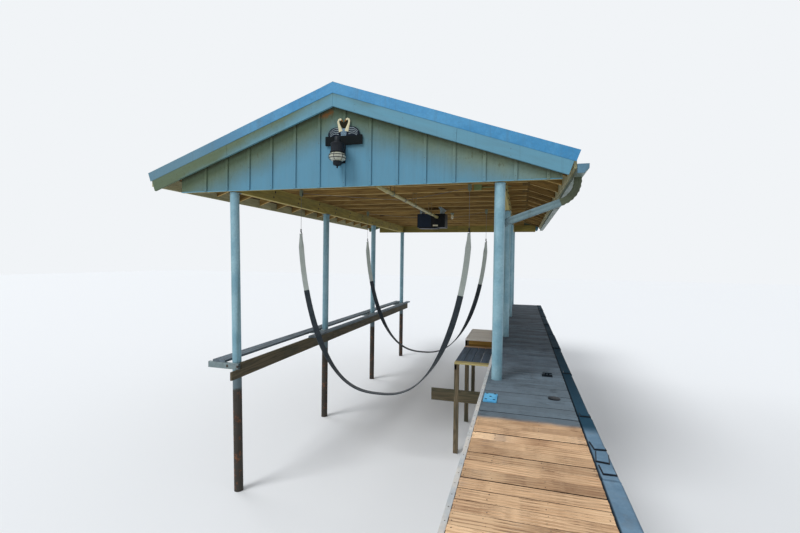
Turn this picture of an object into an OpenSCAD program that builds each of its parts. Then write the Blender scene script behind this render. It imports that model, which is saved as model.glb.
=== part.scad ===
/* [Posts] */
// Distance between the two rows of posts
row_gap = 4200; // [3600:50:4600]
// Distance from one post to the next along a row
bay = 3350; // [3000:50:3800]
// Outside diameter of the steel pipe posts
post_d = 141; // [114:1:168]
// Height of the beams' underside above the water
beam_bottom = 4860; // [4500:10:5200]
// How far the foot of the front left post has moved towards the slip
post_lean = 120; // [0:10:160]
// Length of the cap plate on each post
cap_plate_l = 220; // [180:10:260]
// Width of the cap plate on each post
cap_plate_w = 130; // [110:5:140]
// Thickness of the cap plate on each post
cap_plate_t = 10; // [6:1:16]

/* [Roof frame] */
// Depth of the beam on each row of posts
beam_h = 240; // [200:5:280]
// Width of the beam on each row of posts
beam_w = 90; // [76:1:120]
// How far the beams pass the centres of the end posts
beam_over = 45; // [30:5:70]
// Spaces between the roof trusses along the roof
truss_bays = 14; // [10:1:18]
// Thickness of every truss timber and header
timber_t = 38; // [35:1:45]
// Depth of the level ceiling joists
joist_h = 140; // [89:1:184]
// Depth of the sloping rafters
rafter_h = 140; // [115:1:184]
// Depth of the upright and slanting truss webs
web_h = 89; // [60:1:100]
// Where the slanting webs meet the rafters, from the ridge
web_reach = 1300; // [1000:50:1500]
// Height of the roof boards' top at the ridge, above the beams' top
ridge_rise = 1245; // [1150:5:1350]
// Fall of the roof in each metre
roof_fall = 350; // [320:5:380]
// Distance of the ridge from the right row of posts
ridge_in = 2390; // [2250:10:2500]
// Reach of the roof boards to each side of the ridge
roof_half = 3330; // [3200:10:3450]
// Thickness of the roof boards
roof_board_t = 15; // [12:1:22]

/* [Roof edges] */
// Height of the ribbed roof sheet
sheet_t = 22; // [15:1:30]
// How far the roof sheet passes the roof boards at the eaves
sheet_drip = 40; // [20:5:60]
// Thickness of folded metal trim, as modelled
trim_t = 6; // [4:1:8]
// Height of the metal trim on the sloping edge
rake_trim_h = 150; // [110:5:180]
// Width of the trim's flange on the roof
trim_flange = 120; // [80:5:160]
// Width of the ridge cap to each side
ridge_cap_w = 165; // [120:5:220]
// Width of the timber board on the sloping edge
rake_board_h = 286; // [235:1:300]
// Gap between the gable and the sloping edge board
rake_out = 57; // [30:1:120]
// Width of the fascia board at the eaves
fascia_h = 190; // [140:5:235]

/* [Gables] */
// Thickness of the gable siding
siding_t = 12; // [9:1:19]
// How far the siding reaches left of the ridge
siding_left = 2770; // [2600:10:2900]
// How far the siding reaches right of the ridge
siding_right = 3170; // [2900:10:3200]
// Width of a siding batten
batten_w = 45; // [35:1:60]
// Thickness of a siding batten
batten_t = 19; // [12:1:25]
// Distance from one batten to the next
batten_gap = 406.4; // [300:0.1:500]
// Place of the first batten, right of the siding's left edge
batten_inset = 485; // [380:5:500]
// Number of battens on a gable
batten_count = 14; // [10:1:14]

/* [Gutter] */
// Width of the gutter at its mouth
gutter_w = 140; // [110:5:160]
// Width of the gutter at its foot
gutter_foot_w = 90; // [70:5:105]
// Height of the gutter
gutter_h = 115; // [90:5:130]
// Height of the gutter's upright front lip
gutter_lip = 52; // [40:1:60]
// Wall of the gutter, as modelled
gutter_wall = 4; // [3:1:6]
// Drop from the roof boards' edge to the gutter's rim
gutter_drop = 140; // [15:5:160]
// Thickness of the gutter's outlet and the downspout, front to back
spout_t = 76; // [60:1:100]
// Width of the downspout, across the front
spout_w = 102; // [76:1:110]
// Height of the downspout's foot above the walkway
spout_clear = 150; // [80:10:300]
// Height of the downspout's outer bend under the gutter's foot
spout_drop = 245; // [150:5:320]
// Fall of the slanting run from its outer to its inner bend
spout_fall = 360; // [200:5:450]

/* [Lamp and sign] */
// Place of the lamp and sign, right of the ridge
sign_x = 153; // [0:1:300]
// Height of the sign's foot above the siding's foot
sign_up = 605; // [540:5:700]
// Width of the sign
sign_w = 600; // [500:10:700]
// Thickness of the sign
sign_t = 20; // [12:1:30]
// Height of the sign's plaque
sign_h = 170; // [140:5:220]
// Radius of the plaque's lower corners
sign_corner_r = 40; // [20:5:60]
// Radius of the plaque's shoulders
sign_shoulder_r = 60; // [40:5:80]
// Radius of each lobe of the sign's ornament
lobe_r = 75; // [60:5:85]
// Distance of each lobe's centre from the middle
lobe_x = 60; // [50:5:70]
// Drop of the lamp's top below the sign's foot
lamp_drop = 5; // [2:1:40]
// Place of the lamp, left of the sign's middle
lamp_side = 30; // [0:5:60]
// Height of the lamp's pointed foot
lamp_foot_h = 60; // [40:5:80]
// Height of the rims over and under the glass band
lamp_rim_h = 40; // [25:5:50]
// Height of the lamp's glass band
lamp_glass_h = 130; // [100:5:160]
// Height of the lamp's hood
lamp_hood_h = 90; // [70:5:120]
// Gap between the lamp and the gable
lamp_back = 40; // [20:5:60]
// Diameter of the lamp's rims
lamp_d = 230; // [180:10:280]
// Width of the lamp's wall plate
lamp_plate_w = 120; // [90:5:150]
// Thickness of the lamp's wall plate
lamp_plate_t = 20; // [12:1:30]
// Width of the lamp's arm
lamp_arm_w = 40; // [25:5:60]

/* [Walkway] */
// Height of the walkway's surface above the water
deck_top = 2200; // [2000:10:2400]
// Distance from the right posts' centre to the boards' bank side
deck_right = 880; // [800:10:1000]
// Thickness of the walkway's boards
deck_t = 35; // [28:1:45]
// Pile spaces of the walkway in front of the roof
front_bays = 3; // [2:1:4]
// Boards past the last pile line at each end
deck_end = 150; // [120:10:200]
// Clearance around each post where it passes the boards
deck_clear = 8; // [4:1:15]
// Depth of the stringers under the boards
stringer_h = 190; // [140:5:235]
// Width of the stringers
stringer_w = 50; // [38:1:75]
// Depth of the bearers under the stringers
bearer_h = 150; // [120:5:200]
// Width of the bearers
bearer_w = 90; // [70:5:120]
// Diameter of the walkway's piles
pile_d = 150; // [120:5:200]
// Width of the dark cap on the bank side
cap_w = 150; // [100:5:200]
// Height of the dark cap
cap_h = 90; // [60:5:120]
// How far the cap stands above the boards
cap_up = 15; // [0:1:30]
// Width of the pale strip on the slip side
strip_w = 40; // [30:1:60]
// Height of the pale strip
strip_h = 95; // [60:5:140]

/* [Landing] */
// Height of the low landing above the water
landing_top = 1800; // [1600:10:1900]
// Rise of the step at the back of the landing
landing_step = 160; // [120:5:200]
// Width of the low landing
landing_w = 810; // [700:10:900]
// Start of the low landing, behind the front posts
landing_start = 2360; // [2000:10:2500]
// Length of the landing's lower part
landing_l = 1690; // [1400:10:1900]
// Length of the step at the back
step_l = 1500; // [1000:10:1800]
// Thickness of the landing's boards
landing_t = 35; // [28:1:45]
// Depth of the landing's joists
landing_joist_h = 110; // [90:5:140]
// Size of the landing's square legs
landing_leg = 89; // [70:1:100]
// Depth of the low cross rail
rail_h = 235; // [184:1:286]
// Height of the low cross rail's foot above the water
rail_z = 1020; // [800:10:1200]
// Reach of the low cross rail past the landing, to the slip
rail_out = 450; // [200:10:600]

/* [Catwalk] */
// Height of the catwalk's surface above the water
catwalk_top = 2140; // [2000:10:2300]
// Thickness of the catwalk's planks
catwalk_t = 38; // [30:1:45]
// Width of the plank outside the posts
outer_plank_w = 235; // [184:1:286]
// Width of the plank inside the posts
inner_plank_w = 140; // [120:5:190]
// Start of the inner plank, behind the front posts
inner_plank_start = 2250; // [1500:50:2900]
// Depth of the catwalk's beam
catwalk_beam_h = 235; // [200:5:286]
// Catwalk reach in front of the front post
catwalk_past = 270; // [150:10:400]
// Height of the arms under the catwalk
arm_h = 100; // [76:1:120]
// Width of the arms under the catwalk
arm_w = 50; // [38:1:76]
// Reach of the arms outside the posts' centre
arm_out = 390; // [320:10:450]

/* [Hoist] */
// Roof truss that carries the front sling, counted from the front
sling_truss_front = 2; // [1:1:3]
// Roof truss that carries the rear sling, counted from the front
sling_truss_rear = 7; // [6:1:10]
// Height of the sling hooks above the water
hook_z = 4250; // [4000:10:4400]
// Distance of the left hooks from the left row of posts
hook_in = 430; // [300:10:600]
// Distance between the two hooks of a sling
hook_gap = 3200; // [3000:50:3400]
// Diameter of the hooks, as modelled
hook_d = 36; // [28:1:45]
// Height of the hooks
hook_h = 110; // [80:5:140]
// Height of the sling's lowest point above the water
sling_low = 1350; // [1200:10:1500]
// Width of the sling webbing
sling_w = 100; // [75:5:125]
// Thickness of the sling webbing, as modelled
sling_t = 10; // [8:1:14]
// Diameter of the hoist's cables, as modelled
cable_d = 8; // [6:1:10]
// Height of the pulley housings under the joists
pulley_h = 120; // [90:5:160]
// Drop of the cables' ends at the pulleys below the joists
pulley_pin = 70; // [50:5:80]
// Width of the pulley housings
pulley_w = 60; // [45:5:90]
// Diameter of the overhead drive pipe
drive_d = 60; // [48:1:76]
// Drop of the drive pipe's centre below the joists
drive_drop = 240; // [200:5:280]
// Metal around the drive pipe in its hangers
hanger_t = 12; // [8:1:20]
// Place of the drive pipe, right of the ridge
drive_x = 670; // [400:10:750]
// Width of the motor housing
motor_w = 700; // [600:10:800]
// Height of the motor housing
motor_h = 360; // [300:10:420]
// Length of the motor housing
motor_l = 420; // [350:10:500]
// Drop of the motor housing's top below the joists
motor_drop = 150; // [110:10:200]
// Distance from the motor housing's middle to the drive pipe
motor_side = 160; // [100:10:200]
// Width of the runners that carry the motor housing
runner_w = 60; // [45:5:90]

/* [Hidden] */

$fn = 48;
arc_steps = 12;
seat_gap = 0.3;                           // between a piece and the round face it is fixed to
bays = 3;
left_x = -row_gap;
post_r = post_d / 2;
ridge_x = -ridge_in;
slip_l = bays * bay;
pitch = roof_fall / 1000;
slope = atan(pitch);
plumb = 1 / cos(slope);                  // upright height of a sloping piece of depth 1
beam_top = beam_bottom + beam_h;
ridge_h = beam_top + ridge_rise;
joist_top = beam_top + joist_h;
post_top = beam_bottom - cap_plate_t;
lean = atan(post_lean / post_top);
truss_front = -beam_over - timber_t;
truss_run = slip_l + 2 * beam_over + timber_t;
truss_gap = truss_run / truss_bays;
gable_front = truss_front - siding_t;
batten_face = gable_front - batten_t;
rake_back = gable_front - rake_out;
rake_front = rake_back - timber_t;
roof_front = rake_front - trim_t;
roof_rear = slip_l - roof_front;
boards_v = roof_board_t * plumb;
sheet_v = sheet_t * plumb;
trim_v = trim_t * plumb;
rafter_v = rafter_h * plumb;
rafter_foot = ridge_h - boards_v - rafter_v; // the rafters' underside at the ridge
tail_x = roof_half - timber_t;           // rafter tails stop against the fascia
fascia_top = ridge_h - pitch * roof_half - boards_v;
pile_gap = bay / 2;
first_line = -front_bays;
last_line = 2 * bays;
deck_front = first_line * pile_gap - deck_end;
deck_rear = last_line * pile_gap + deck_end;
deck_left = post_r + stringer_w;
stringer_top = deck_top - deck_t;
stringer_bottom = stringer_top - stringer_h;
bearer_bottom = stringer_bottom - bearer_h;
landing_right = -deck_left - seat_gap;
landing_left = landing_right - landing_w;
step_y = landing_start + landing_l;
step_end = step_y + step_l;
step_top = landing_top + landing_step;
catwalk_foot = catwalk_top - catwalk_t - catwalk_beam_h;
catwalk_in = left_x + post_r / cos(lean) + post_lean * (1 - catwalk_foot / post_top) + seat_gap;
gutter_top = fascia_top - gutter_drop;
spout_back = post_r + seat_gap + spout_t / 2;
pipe_x = ridge_x + drive_x;
pipe_z = beam_top - drive_drop;
runner_front = truss_y(sling_truss_rear - 1);
runner_rear = truss_y(sling_truss_rear) + timber_t / 4;
motor_front = (runner_front + runner_rear - motor_l) / 2;
motor_rear = motor_front + motor_l;
hook_left = left_x + hook_in;
hook_right = hook_left + hook_gap;

// Height of the roof boards' top above a place across the building
function roof_z(x) = ridge_h - pitch * abs(x - ridge_x);

// Front face of a roof truss, counted from the front
function truss_y(n) = truss_front + n * truss_gap;

// Front face of the bearer on a pile line, counted from the front posts
function line_y(k) = k * pile_gap + post_r + seat_gap;

// Draws a flat outline that stands across the building, from y0 to y1
module across(y0, y1) {
    translate([0, y1, 0]) rotate([90, 0, 0]) linear_extrude(y1 - y0) children();
}

// A sloping bar on one side of the ridge, side -1 or 1, with upright ends
module slope_bar(side, from_ridge, to_ridge, drop, depth, y0, y1) {
    xa = ridge_x + side * from_ridge;
    xb = ridge_x + side * to_ridge;
    across(y0, y1) polygon([[xa, roof_z(xa) - drop], [xb, roof_z(xb) - drop],
        [xb, roof_z(xb) - drop - depth], [xa, roof_z(xa) - drop - depth]]);
}

// A pair of sloping edge pieces that meet at the ridge, with ends cut square to the slope
module chevron(reach, drop, depth, y0, y1) {
    back = depth * sin(slope) * cos(slope);
    across(y0, y1) polygon([
        [ridge_x - reach, ridge_h - pitch * reach - drop],
        [ridge_x, ridge_h - drop],
        [ridge_x + reach, ridge_h - pitch * reach - drop],
        [ridge_x + reach - back, ridge_h - pitch * (reach - back) - drop - depth],
        [ridge_x, ridge_h - drop - depth],
        [ridge_x - reach + back, ridge_h - pitch * (reach - back) - drop - depth]]);
}

module box(x0, x1, y0, y1, z0, z1) {
    translate([x0, y0, z0]) cube([x1 - x0, y1 - y0, z1 - z0]);
}

module rod(a, b, d) {
    v = b - a;
    translate(a) rotate([0, acos(v[2] / norm(v)), atan2(v[1], v[0])]) cylinder(h = norm(v), d = d);
}

module post(x, n) {
    color("lightslategray") translate([x, n * bay, 0]) cylinder(h = post_top, d = post_d);
}

// The front left post leans, with its foot cut level with the water
module leaning_post() {
    color("lightslategray") intersection() {
        translate([left_x, 0, post_top]) rotate([0, 180 - lean, 0])
            translate([0, 0, -post_d]) cylinder(h = post_top + 3 * post_d, d = post_d);
        box(left_x - bay, left_x + bay, -bay, bay, 0, post_top);
    }
}

// Steel plates between the posts and the beams, flush with the beams' ends
module post_caps() {
    half = cap_plate_l / 2;
    color("slategray") for (x = [left_x, 0], n = [0 : bays])
        box(x - cap_plate_w / 2, x + cap_plate_w / 2,
            n * bay - (n == 0 ? beam_over : half), n * bay + (n == bays ? beam_over : half),
            post_top, beam_bottom);
}

module post_beams() {
    color("darkkhaki") for (x = [left_x, 0])
        box(x - beam_w / 2, x + beam_w / 2, -beam_over, slip_l + beam_over, beam_bottom, beam_top);
}

module headers() {
    color("darkkhaki") for (y = [truss_front, slip_l + beam_over])
        box(ridge_x - siding_left, ridge_x + siding_right, y, y + timber_t, beam_bottom, beam_top);
}

module ceiling_joists() {
    out = siding_left;
    heel = min(out, (rafter_foot - joist_top) / pitch);
    clip = rafter_foot - pitch * out;
    clipped = clip < joist_top;
    color("peru") for (n = [0 : truss_bays]) across(truss_y(n), truss_y(n) + timber_t) polygon([
            [ridge_x - out, beam_top], [ridge_x + out, beam_top],
            if (clipped) [ridge_x + out, clip],
            [ridge_x + heel, joist_top], [ridge_x - heel, joist_top],
            if (clipped) [ridge_x - out, clip]]);
}

module rafters(side) {
    color("peru") for (n = [0 : truss_bays])
        slope_bar(side, 0, tail_x, boards_v, rafter_v, truss_y(n), truss_y(n) + timber_t);
}
module left_rafters() { rafters(-1); }
module right_rafters() { rafters(1); }

// A king post and two slanting webs in each truss
module truss_webs() {
    half = web_h / 2;
    web_slope = atan((rafter_foot - pitch * web_reach - joist_top) / (web_reach - web_h));
    level_w = web_h / sin(web_slope);
    color("peru") for (n = [0 : truss_bays]) across(truss_y(n), truss_y(n) + timber_t) {
            polygon([[ridge_x - half, joist_top], [ridge_x + half, joist_top],
                [ridge_x + half, rafter_foot - pitch * half], [ridge_x, rafter_foot],
                [ridge_x - half, rafter_foot - pitch * half]]);
            for (s = [-1, 1]) polygon([[ridge_x + s * web_h, joist_top],
                [ridge_x + s * (web_h + level_w), joist_top],
                [ridge_x + s * (web_reach + web_h), rafter_foot - pitch * (web_reach + web_h)],
                [ridge_x + s * web_reach, rafter_foot - pitch * web_reach]]);
        }
}

module roof_boards(side) {
    color("saddlebrown") slope_bar(side, 0, roof_half, 0, boards_v, rake_front, slip_l - rake_front);
}
module left_roof_boards() { roof_boards(-1); }
module right_roof_boards() { roof_boards(1); }

module roof_sheet(side) {
    color("lightsteelblue") slope_bar(side, 0, roof_half + sheet_drip, -sheet_v, sheet_v,
        rake_front, slip_l - rake_front);
}
module left_roof_sheet() { roof_sheet(-1); }
module right_roof_sheet() { roof_sheet(1); }

module ridge_cap() {
    color("lightsteelblue") chevron(ridge_cap_w, -sheet_v - 2 * trim_v, trim_v, roof_front, roof_rear);
}

module rake_boards() {
    color("powderblue") for (y = [rake_front, slip_l - rake_back])
        chevron(roof_half, boards_v, rake_board_h * plumb, y, y + timber_t);
}

module rake_trim() {
    reach = roof_half + sheet_drip;
    chevron(reach, -sheet_v - trim_v, rake_trim_h * plumb, roof_front, rake_front);
    chevron(reach, -sheet_v - trim_v, trim_v, roof_front, roof_front + trim_flange);
}

module rake_trims() {
    color("steelblue") {
        rake_trim();
        translate([0, slip_l, 0]) mirror([0, 1, 0]) rake_trim();
    }
}

module fascias() {
    color("wheat") for (side = [-1, 1]) {
        inner = ridge_x + side * tail_x;
        outer = ridge_x + side * roof_half;
        box(min(inner, outer), max(inner, outer), rake_back, slip_l - rake_back,
            fascia_top - fascia_h, fascia_top);
    }
}

module gutter_profile(inset) {
    x = ridge_x + roof_half;
    polygon([[x + inset, gutter_top + inset], [x + inset, gutter_top - gutter_h + inset],
        [x + gutter_foot_w - inset, gutter_top - gutter_h + inset],
        [x + gutter_w - inset, gutter_top - gutter_lip],
        [x + gutter_w - inset, gutter_top + inset]]);
}

module gutter() {
    color("lightsteelblue") difference() {
        intersection() {
            across(rake_front, slip_l - rake_front) gutter_profile(0);
            box(-bay, bay, rake_front, slip_l - rake_front, 0, gutter_top);
        }
        across(rake_front + gutter_wall, slip_l - rake_front - gutter_wall)
            gutter_profile(gutter_wall);
    }
}

// Unit normal of the line from a to b
function normal(a, b) = [a[1] - b[1], b[0] - a[0]] / norm(b - a);

// Mitre vector at point i of a path, for a band of half width 1
function mitre(path, i) =
    let (first = normal(path[max(i - 1, 0)], path[max(i, 1)]),
        second = normal(path[min(i, len(path) - 2)], path[min(i + 1, len(path) - 1)]),
        both = first + second)
    2 * both / (both * both);

// A band of one width along a path, with mitred corners
module band(path, w) {
    last = len(path) - 1;
    polygon(concat([for (i = [0 : last]) path[i] + mitre(path, i) * w / 2],
        [for (i = [last : -1 : 0]) path[i] - mitre(path, i) * w / 2]));
}

// From the gutter's outlet in to the front post and down behind it
module downspout() {
    top_x = ridge_x + roof_half + gutter_foot_w / 2;
    outlet = gutter_top - gutter_h;
    bend = outlet - spout_drop;
    color("lightsteelblue") across(spout_back - spout_t / 2, spout_back + spout_t / 2)
        band([[top_x, outlet], [top_x, bend], [0, bend - spout_fall], [0, deck_top + spout_clear]],
            spout_w);
}

module siding() {
    under = ridge_h - boards_v;
    across(gable_front, truss_front) polygon([
        [ridge_x - siding_left, beam_bottom], [ridge_x + siding_right, beam_bottom],
        [ridge_x + siding_right, under - pitch * siding_right], [ridge_x, under],
        [ridge_x - siding_left, under - pitch * siding_left]]);
}
module front_siding() { color("lightblue") siding(); }
module rear_siding() {
    color("lightblue") translate([0, slip_l, 0]) mirror([0, 1, 0]) siding();
}

module gable_battens() {
    half = batten_w / 2;
    rise = ridge_h - boards_v;
    for (n = [0 : batten_count - 1]) {
        x = -siding_left + batten_inset + n * batten_gap;
        top_l = rise - pitch * abs(x - half);
        top_r = rise - pitch * abs(x + half);
        across(batten_face, gable_front) translate([ridge_x, 0])
            polygon([[x - half, beam_bottom], [x + half, beam_bottom], [x + half, top_r],
                if (abs(x) < half) [0, rise], [x - half, top_l]]);
    }
}

module battens() {
    color("lightblue") {
        gable_battens();
        translate([0, slip_l, 0]) mirror([0, 1, 0]) gable_battens();
    }
}

// Points of an arc about c, from angle a0 to a1
function arc(c, r, a0, a1) = [for (i = [0 : arc_steps]) let (a = a0 + (a1 - a0) * i / arc_steps)
    c + r * [cos(a), sin(a)]];

// A bare plaque with a two-lobed ornament on top, as one outline
module sign_plaque() {
    half = concat(
        arc([sign_w / 2 - sign_corner_r, sign_corner_r], sign_corner_r, -90, 30),
        arc([sign_w / 4, sign_h - sign_shoulder_r], sign_shoulder_r, 30, 80),
        arc([lobe_x, sign_h + lobe_x], lobe_r, -50, acos(-lobe_x / lobe_r)));
    other = [for (i = [len(half) - 2 : -1 : 0]) [-half[i][0], half[i][1]]];
    color("darkslategray") across(batten_face - sign_t, batten_face)
        translate([ridge_x + sign_x, beam_bottom + sign_up]) polygon(concat(half, other));
}

// A round lantern on a wall plate, below the sign
module wall_lamp() {
    glass = lamp_foot_h + lamp_rim_h;
    hood = glass + lamp_glass_h + lamp_rim_h;
    lamp_h = hood + lamp_hood_h;
    x = ridge_x + sign_x - lamp_side;
    y = batten_face - lamp_back - lamp_d / 2;
    z = beam_bottom + sign_up - lamp_drop - lamp_h;
    glass_d = lamp_d - 2 * lamp_plate_t;
    color("black") {
        box(x - lamp_plate_w / 2, x + lamp_plate_w / 2, batten_face - lamp_plate_t, batten_face,
            z + glass, z + lamp_h);
        box(x - lamp_arm_w / 2, x + lamp_arm_w / 2, y, batten_face - lamp_plate_t / 2,
            z + hood, z + hood + lamp_rim_h);
        translate([x, y, z]) {
            cylinder(h = lamp_foot_h, d1 = lamp_arm_w, d2 = lamp_plate_w);
            translate([0, 0, lamp_foot_h]) cylinder(h = lamp_rim_h, d = lamp_d);
            translate([0, 0, glass]) cylinder(h = lamp_glass_h, d = glass_d);
            translate([0, 0, glass + lamp_glass_h]) cylinder(h = lamp_rim_h, d = lamp_d);
            translate([0, 0, hood]) cylinder(h = lamp_hood_h, d1 = glass_d, d2 = lamp_arm_w);
        }
    }
}

module deck_boards() {
    color("sienna") difference() {
        box(-deck_left, deck_right, deck_front, deck_rear, stringer_top, deck_top);
        for (n = [0 : bays]) translate([0, n * bay, stringer_top - deck_t])
            cylinder(h = 3 * deck_t, d = post_d + 2 * deck_clear);
    }
}

module deck_stringers() {
    color("saddlebrown")
        for (x = [-deck_left, post_r, (deck_right - stringer_w + post_r) / 2, deck_right - stringer_w])
            box(x, x + stringer_w, deck_front, deck_rear, stringer_bottom, stringer_top);
}

module deck_bearers() {
    color("saddlebrown") for (k = [first_line : last_line])
        box(-deck_left, deck_right, line_y(k), line_y(k) + bearer_w, bearer_bottom, stringer_bottom);
}

module deck_piles() {
    color("rosybrown") for (k = [first_line : last_line]) {
        y = line_y(k) + bearer_w / 2;
        translate([deck_right - pile_d, y, 0]) cylinder(h = bearer_bottom, d = pile_d);
        if (k < 0 || k % 2 == 1)
            translate([0, y, 0]) cylinder(h = bearer_bottom, d = pile_d);
    }
}

module deck_cap() {
    color("darkslategray") box(deck_right, deck_right + cap_w, deck_front, deck_rear,
        deck_top + cap_up - cap_h, deck_top + cap_up);
}

module deck_edge_strip() {
    color("whitesmoke") box(-deck_left - strip_w, -deck_left, deck_front, deck_rear,
        deck_top - strip_h, deck_top);
}

module landing_boards() {
    color("burlywood") {
        box(landing_left, landing_right, landing_start, step_y, landing_top - landing_t, landing_top);
        box(landing_left, landing_right, step_y, step_end, step_top - landing_t, step_top);
    }
}

// Joists, legs and the low rail that carry the landing
module landing_frame() {
    low = landing_top - landing_t;
    high = step_top - landing_t;
    color("peru") {
        for (x = [landing_left, landing_right - landing_leg]) {
            box(x, x + stringer_w, landing_start, step_y, low - landing_joist_h, low);
            box(x, x + stringer_w, step_y, step_end, low - landing_joist_h, high);
            for (y = [landing_start, step_y, step_end - landing_leg])
                box(x, x + landing_leg, y, y + landing_leg, 0, y < step_y ? low : high);
        }
        box(landing_left, landing_right, step_y, step_y + landing_leg, low - landing_joist_h, high);
        box(landing_left - rail_out, landing_right, landing_start, landing_start + timber_t,
            rail_z, rail_z + rail_h);
    }
}

// The beam is cut down at its front end, where the first arm lies on it
module catwalk_beam() {
    top = catwalk_top - catwalk_t;
    color("saddlebrown") difference() {
        box(catwalk_in, catwalk_in + timber_t, -catwalk_past, slip_l + catwalk_past, catwalk_foot, top);
        box(catwalk_in - timber_t, catwalk_in + 2 * timber_t, -catwalk_past - timber_t,
            -post_r + catwalk_t, top - arm_h, top + timber_t);
    }
}

module catwalk_planks() {
    outer = left_x - post_r - outer_plank_w;
    color("lightslategray") {
        box(outer, outer + outer_plank_w, -post_r - arm_w, slip_l + catwalk_past,
            catwalk_top - catwalk_t, catwalk_top);
        box(catwalk_in, catwalk_in + inner_plank_w, inner_plank_start, slip_l + catwalk_past,
            catwalk_top - catwalk_t, catwalk_top);
    }
}

module catwalk_arms() {
    top = catwalk_top - catwalk_t;
    color("slategray") for (n = [0 : bays])
        box(left_x - arm_out, catwalk_in + (n == 0 ? timber_t : 0),
            n * bay - post_r - arm_w, n * bay - post_r, top - arm_h, top);
}

// The motor housing hangs on two runners between two roof trusses
module hoist_motor() {
    x0 = pipe_x - motor_side - motor_w / 2;
    top = beam_top - motor_drop;
    color("dimgray") {
        box(x0, x0 + motor_w, motor_front, motor_rear, top - motor_h, top);
        for (x = [x0 + runner_w, pipe_x + drive_d]) {
            box(x, x + runner_w, runner_front, runner_rear, beam_top - timber_t, beam_top);
            box(x, x + runner_w, motor_front, motor_rear, top, beam_top - timber_t);
        }
    }
}

// The drive pipe runs into the motor housing in front, and on from it to the rear cables
module drive_pipe() {
    color("lightgray") {
        rod([pipe_x, truss_y(0) + timber_t, pipe_z], [pipe_x, motor_front - seat_gap, pipe_z], drive_d);
        rod([pipe_x, motor_rear + seat_gap, pipe_z], [pipe_x, truss_y(sling_truss_rear + 1), pipe_z],
            drive_d);
    }
}

// Hangers of the drive pipe under the joists, from the front truss to the motor
module pipe_hangers() {
    half = drive_d / 2 + hanger_t;
    for (n = [1 : 2 : sling_truss_rear])
        box(pipe_x - half, pipe_x + half, truss_y(n), truss_y(n) + timber_t,
            pipe_z + drive_d / 2 + seat_gap, beam_top);
}

// Cables from the drive pipe over pulleys to the hooks, with the pulley housings
module hoist_cables() {
    z = beam_top - pulley_pin;
    half = pulley_w / 2;
    // a slanting cable's ends stand clear by a little more than its end faces tilt
    clear = seat_gap + cable_d / 2 * (drive_drop - pulley_pin) / (hook_right - pipe_x - half);
    winding = drive_d / 2 + clear;
    housing_foot = beam_top - pulley_h;
    color("gray") {
        pipe_hangers();
        for (n = [sling_truss_front, sling_truss_rear]) {
            y = truss_y(n) + timber_t / 2;
            for (x = [hook_left, hook_right]) {
                box(x - half, x + half, y - half, y + half, housing_foot, beam_top);
                rod([x, y, hook_z + hook_h + seat_gap], [x, y, housing_foot - seat_gap], cable_d);
                translate([x, y, hook_z]) cylinder(h = hook_h, d = hook_d);
            }
            rod([hook_left + half + clear, y, z], [pipe_x - winding, y, pipe_z], cable_d);
            rod([pipe_x + winding, y, pipe_z], [hook_right - half - clear, y, z], cable_d);
        }
    }
}

// A sling hangs between its hooks in the curve of a loaded belt, full at its foot and upright at
// its hooks
belt_foot = 2.6;
belt_side = 0.62;
belt_steps = 40;
function belt(u, half, rise) = [half * u, rise * (1 - pow(1 - pow(abs(u), belt_foot), belt_side))];

module sling(y) {
    half = (hook_gap + sling_t) / 2;
    rise = hook_z - sling_low;
    mid = (hook_left + hook_right) / 2;
    ends = [for (i = [0 : belt_steps]) -1 + 2 * i / belt_steps];
    outer = [for (u = ends) belt(u, half, rise)];
    inner = [for (u = ends) belt(-u, half - sling_t, rise - sling_t) + [0, sling_t]];
    across(y - sling_w / 2, y + sling_w / 2) translate([mid, sling_low])
        polygon(concat(outer, inner));
}

module slings() {
    color("dimgray") for (n = [sling_truss_front, sling_truss_rear])
        sling(truss_y(n) + timber_t / 2);
}

leaning_post();  // left_post_1
post(left_x, 1);  // left_post_2
post(left_x, 2);  // left_post_3
post(left_x, 3);  // left_post_4
post(0, 0);  // right_post_1
post(0, 1);  // right_post_2
post(0, 2);  // right_post_3
post(0, 3);  // right_post_4
post_caps();
post_beams();
headers();
ceiling_joists();
left_rafters();
right_rafters();
truss_webs();
left_roof_boards();
right_roof_boards();
left_roof_sheet();
right_roof_sheet();
ridge_cap();
rake_boards();
rake_trims();
fascias();
gutter();
downspout();
front_siding();
rear_siding();
battens();
wall_lamp();
sign_plaque();
deck_boards();
deck_stringers();
deck_bearers();
deck_piles();
deck_cap();
deck_edge_strip();
landing_boards();
landing_frame();
catwalk_beam();
catwalk_planks();
catwalk_arms();
hoist_motor();
drive_pipe();
hoist_cables();
slings();
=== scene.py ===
import random
from itertools import pairwise
from math import atan, ceil, copysign, cos, hypot, pi, radians, sin

import bmesh
import bpy
from mathutils import Matrix, Vector


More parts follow.
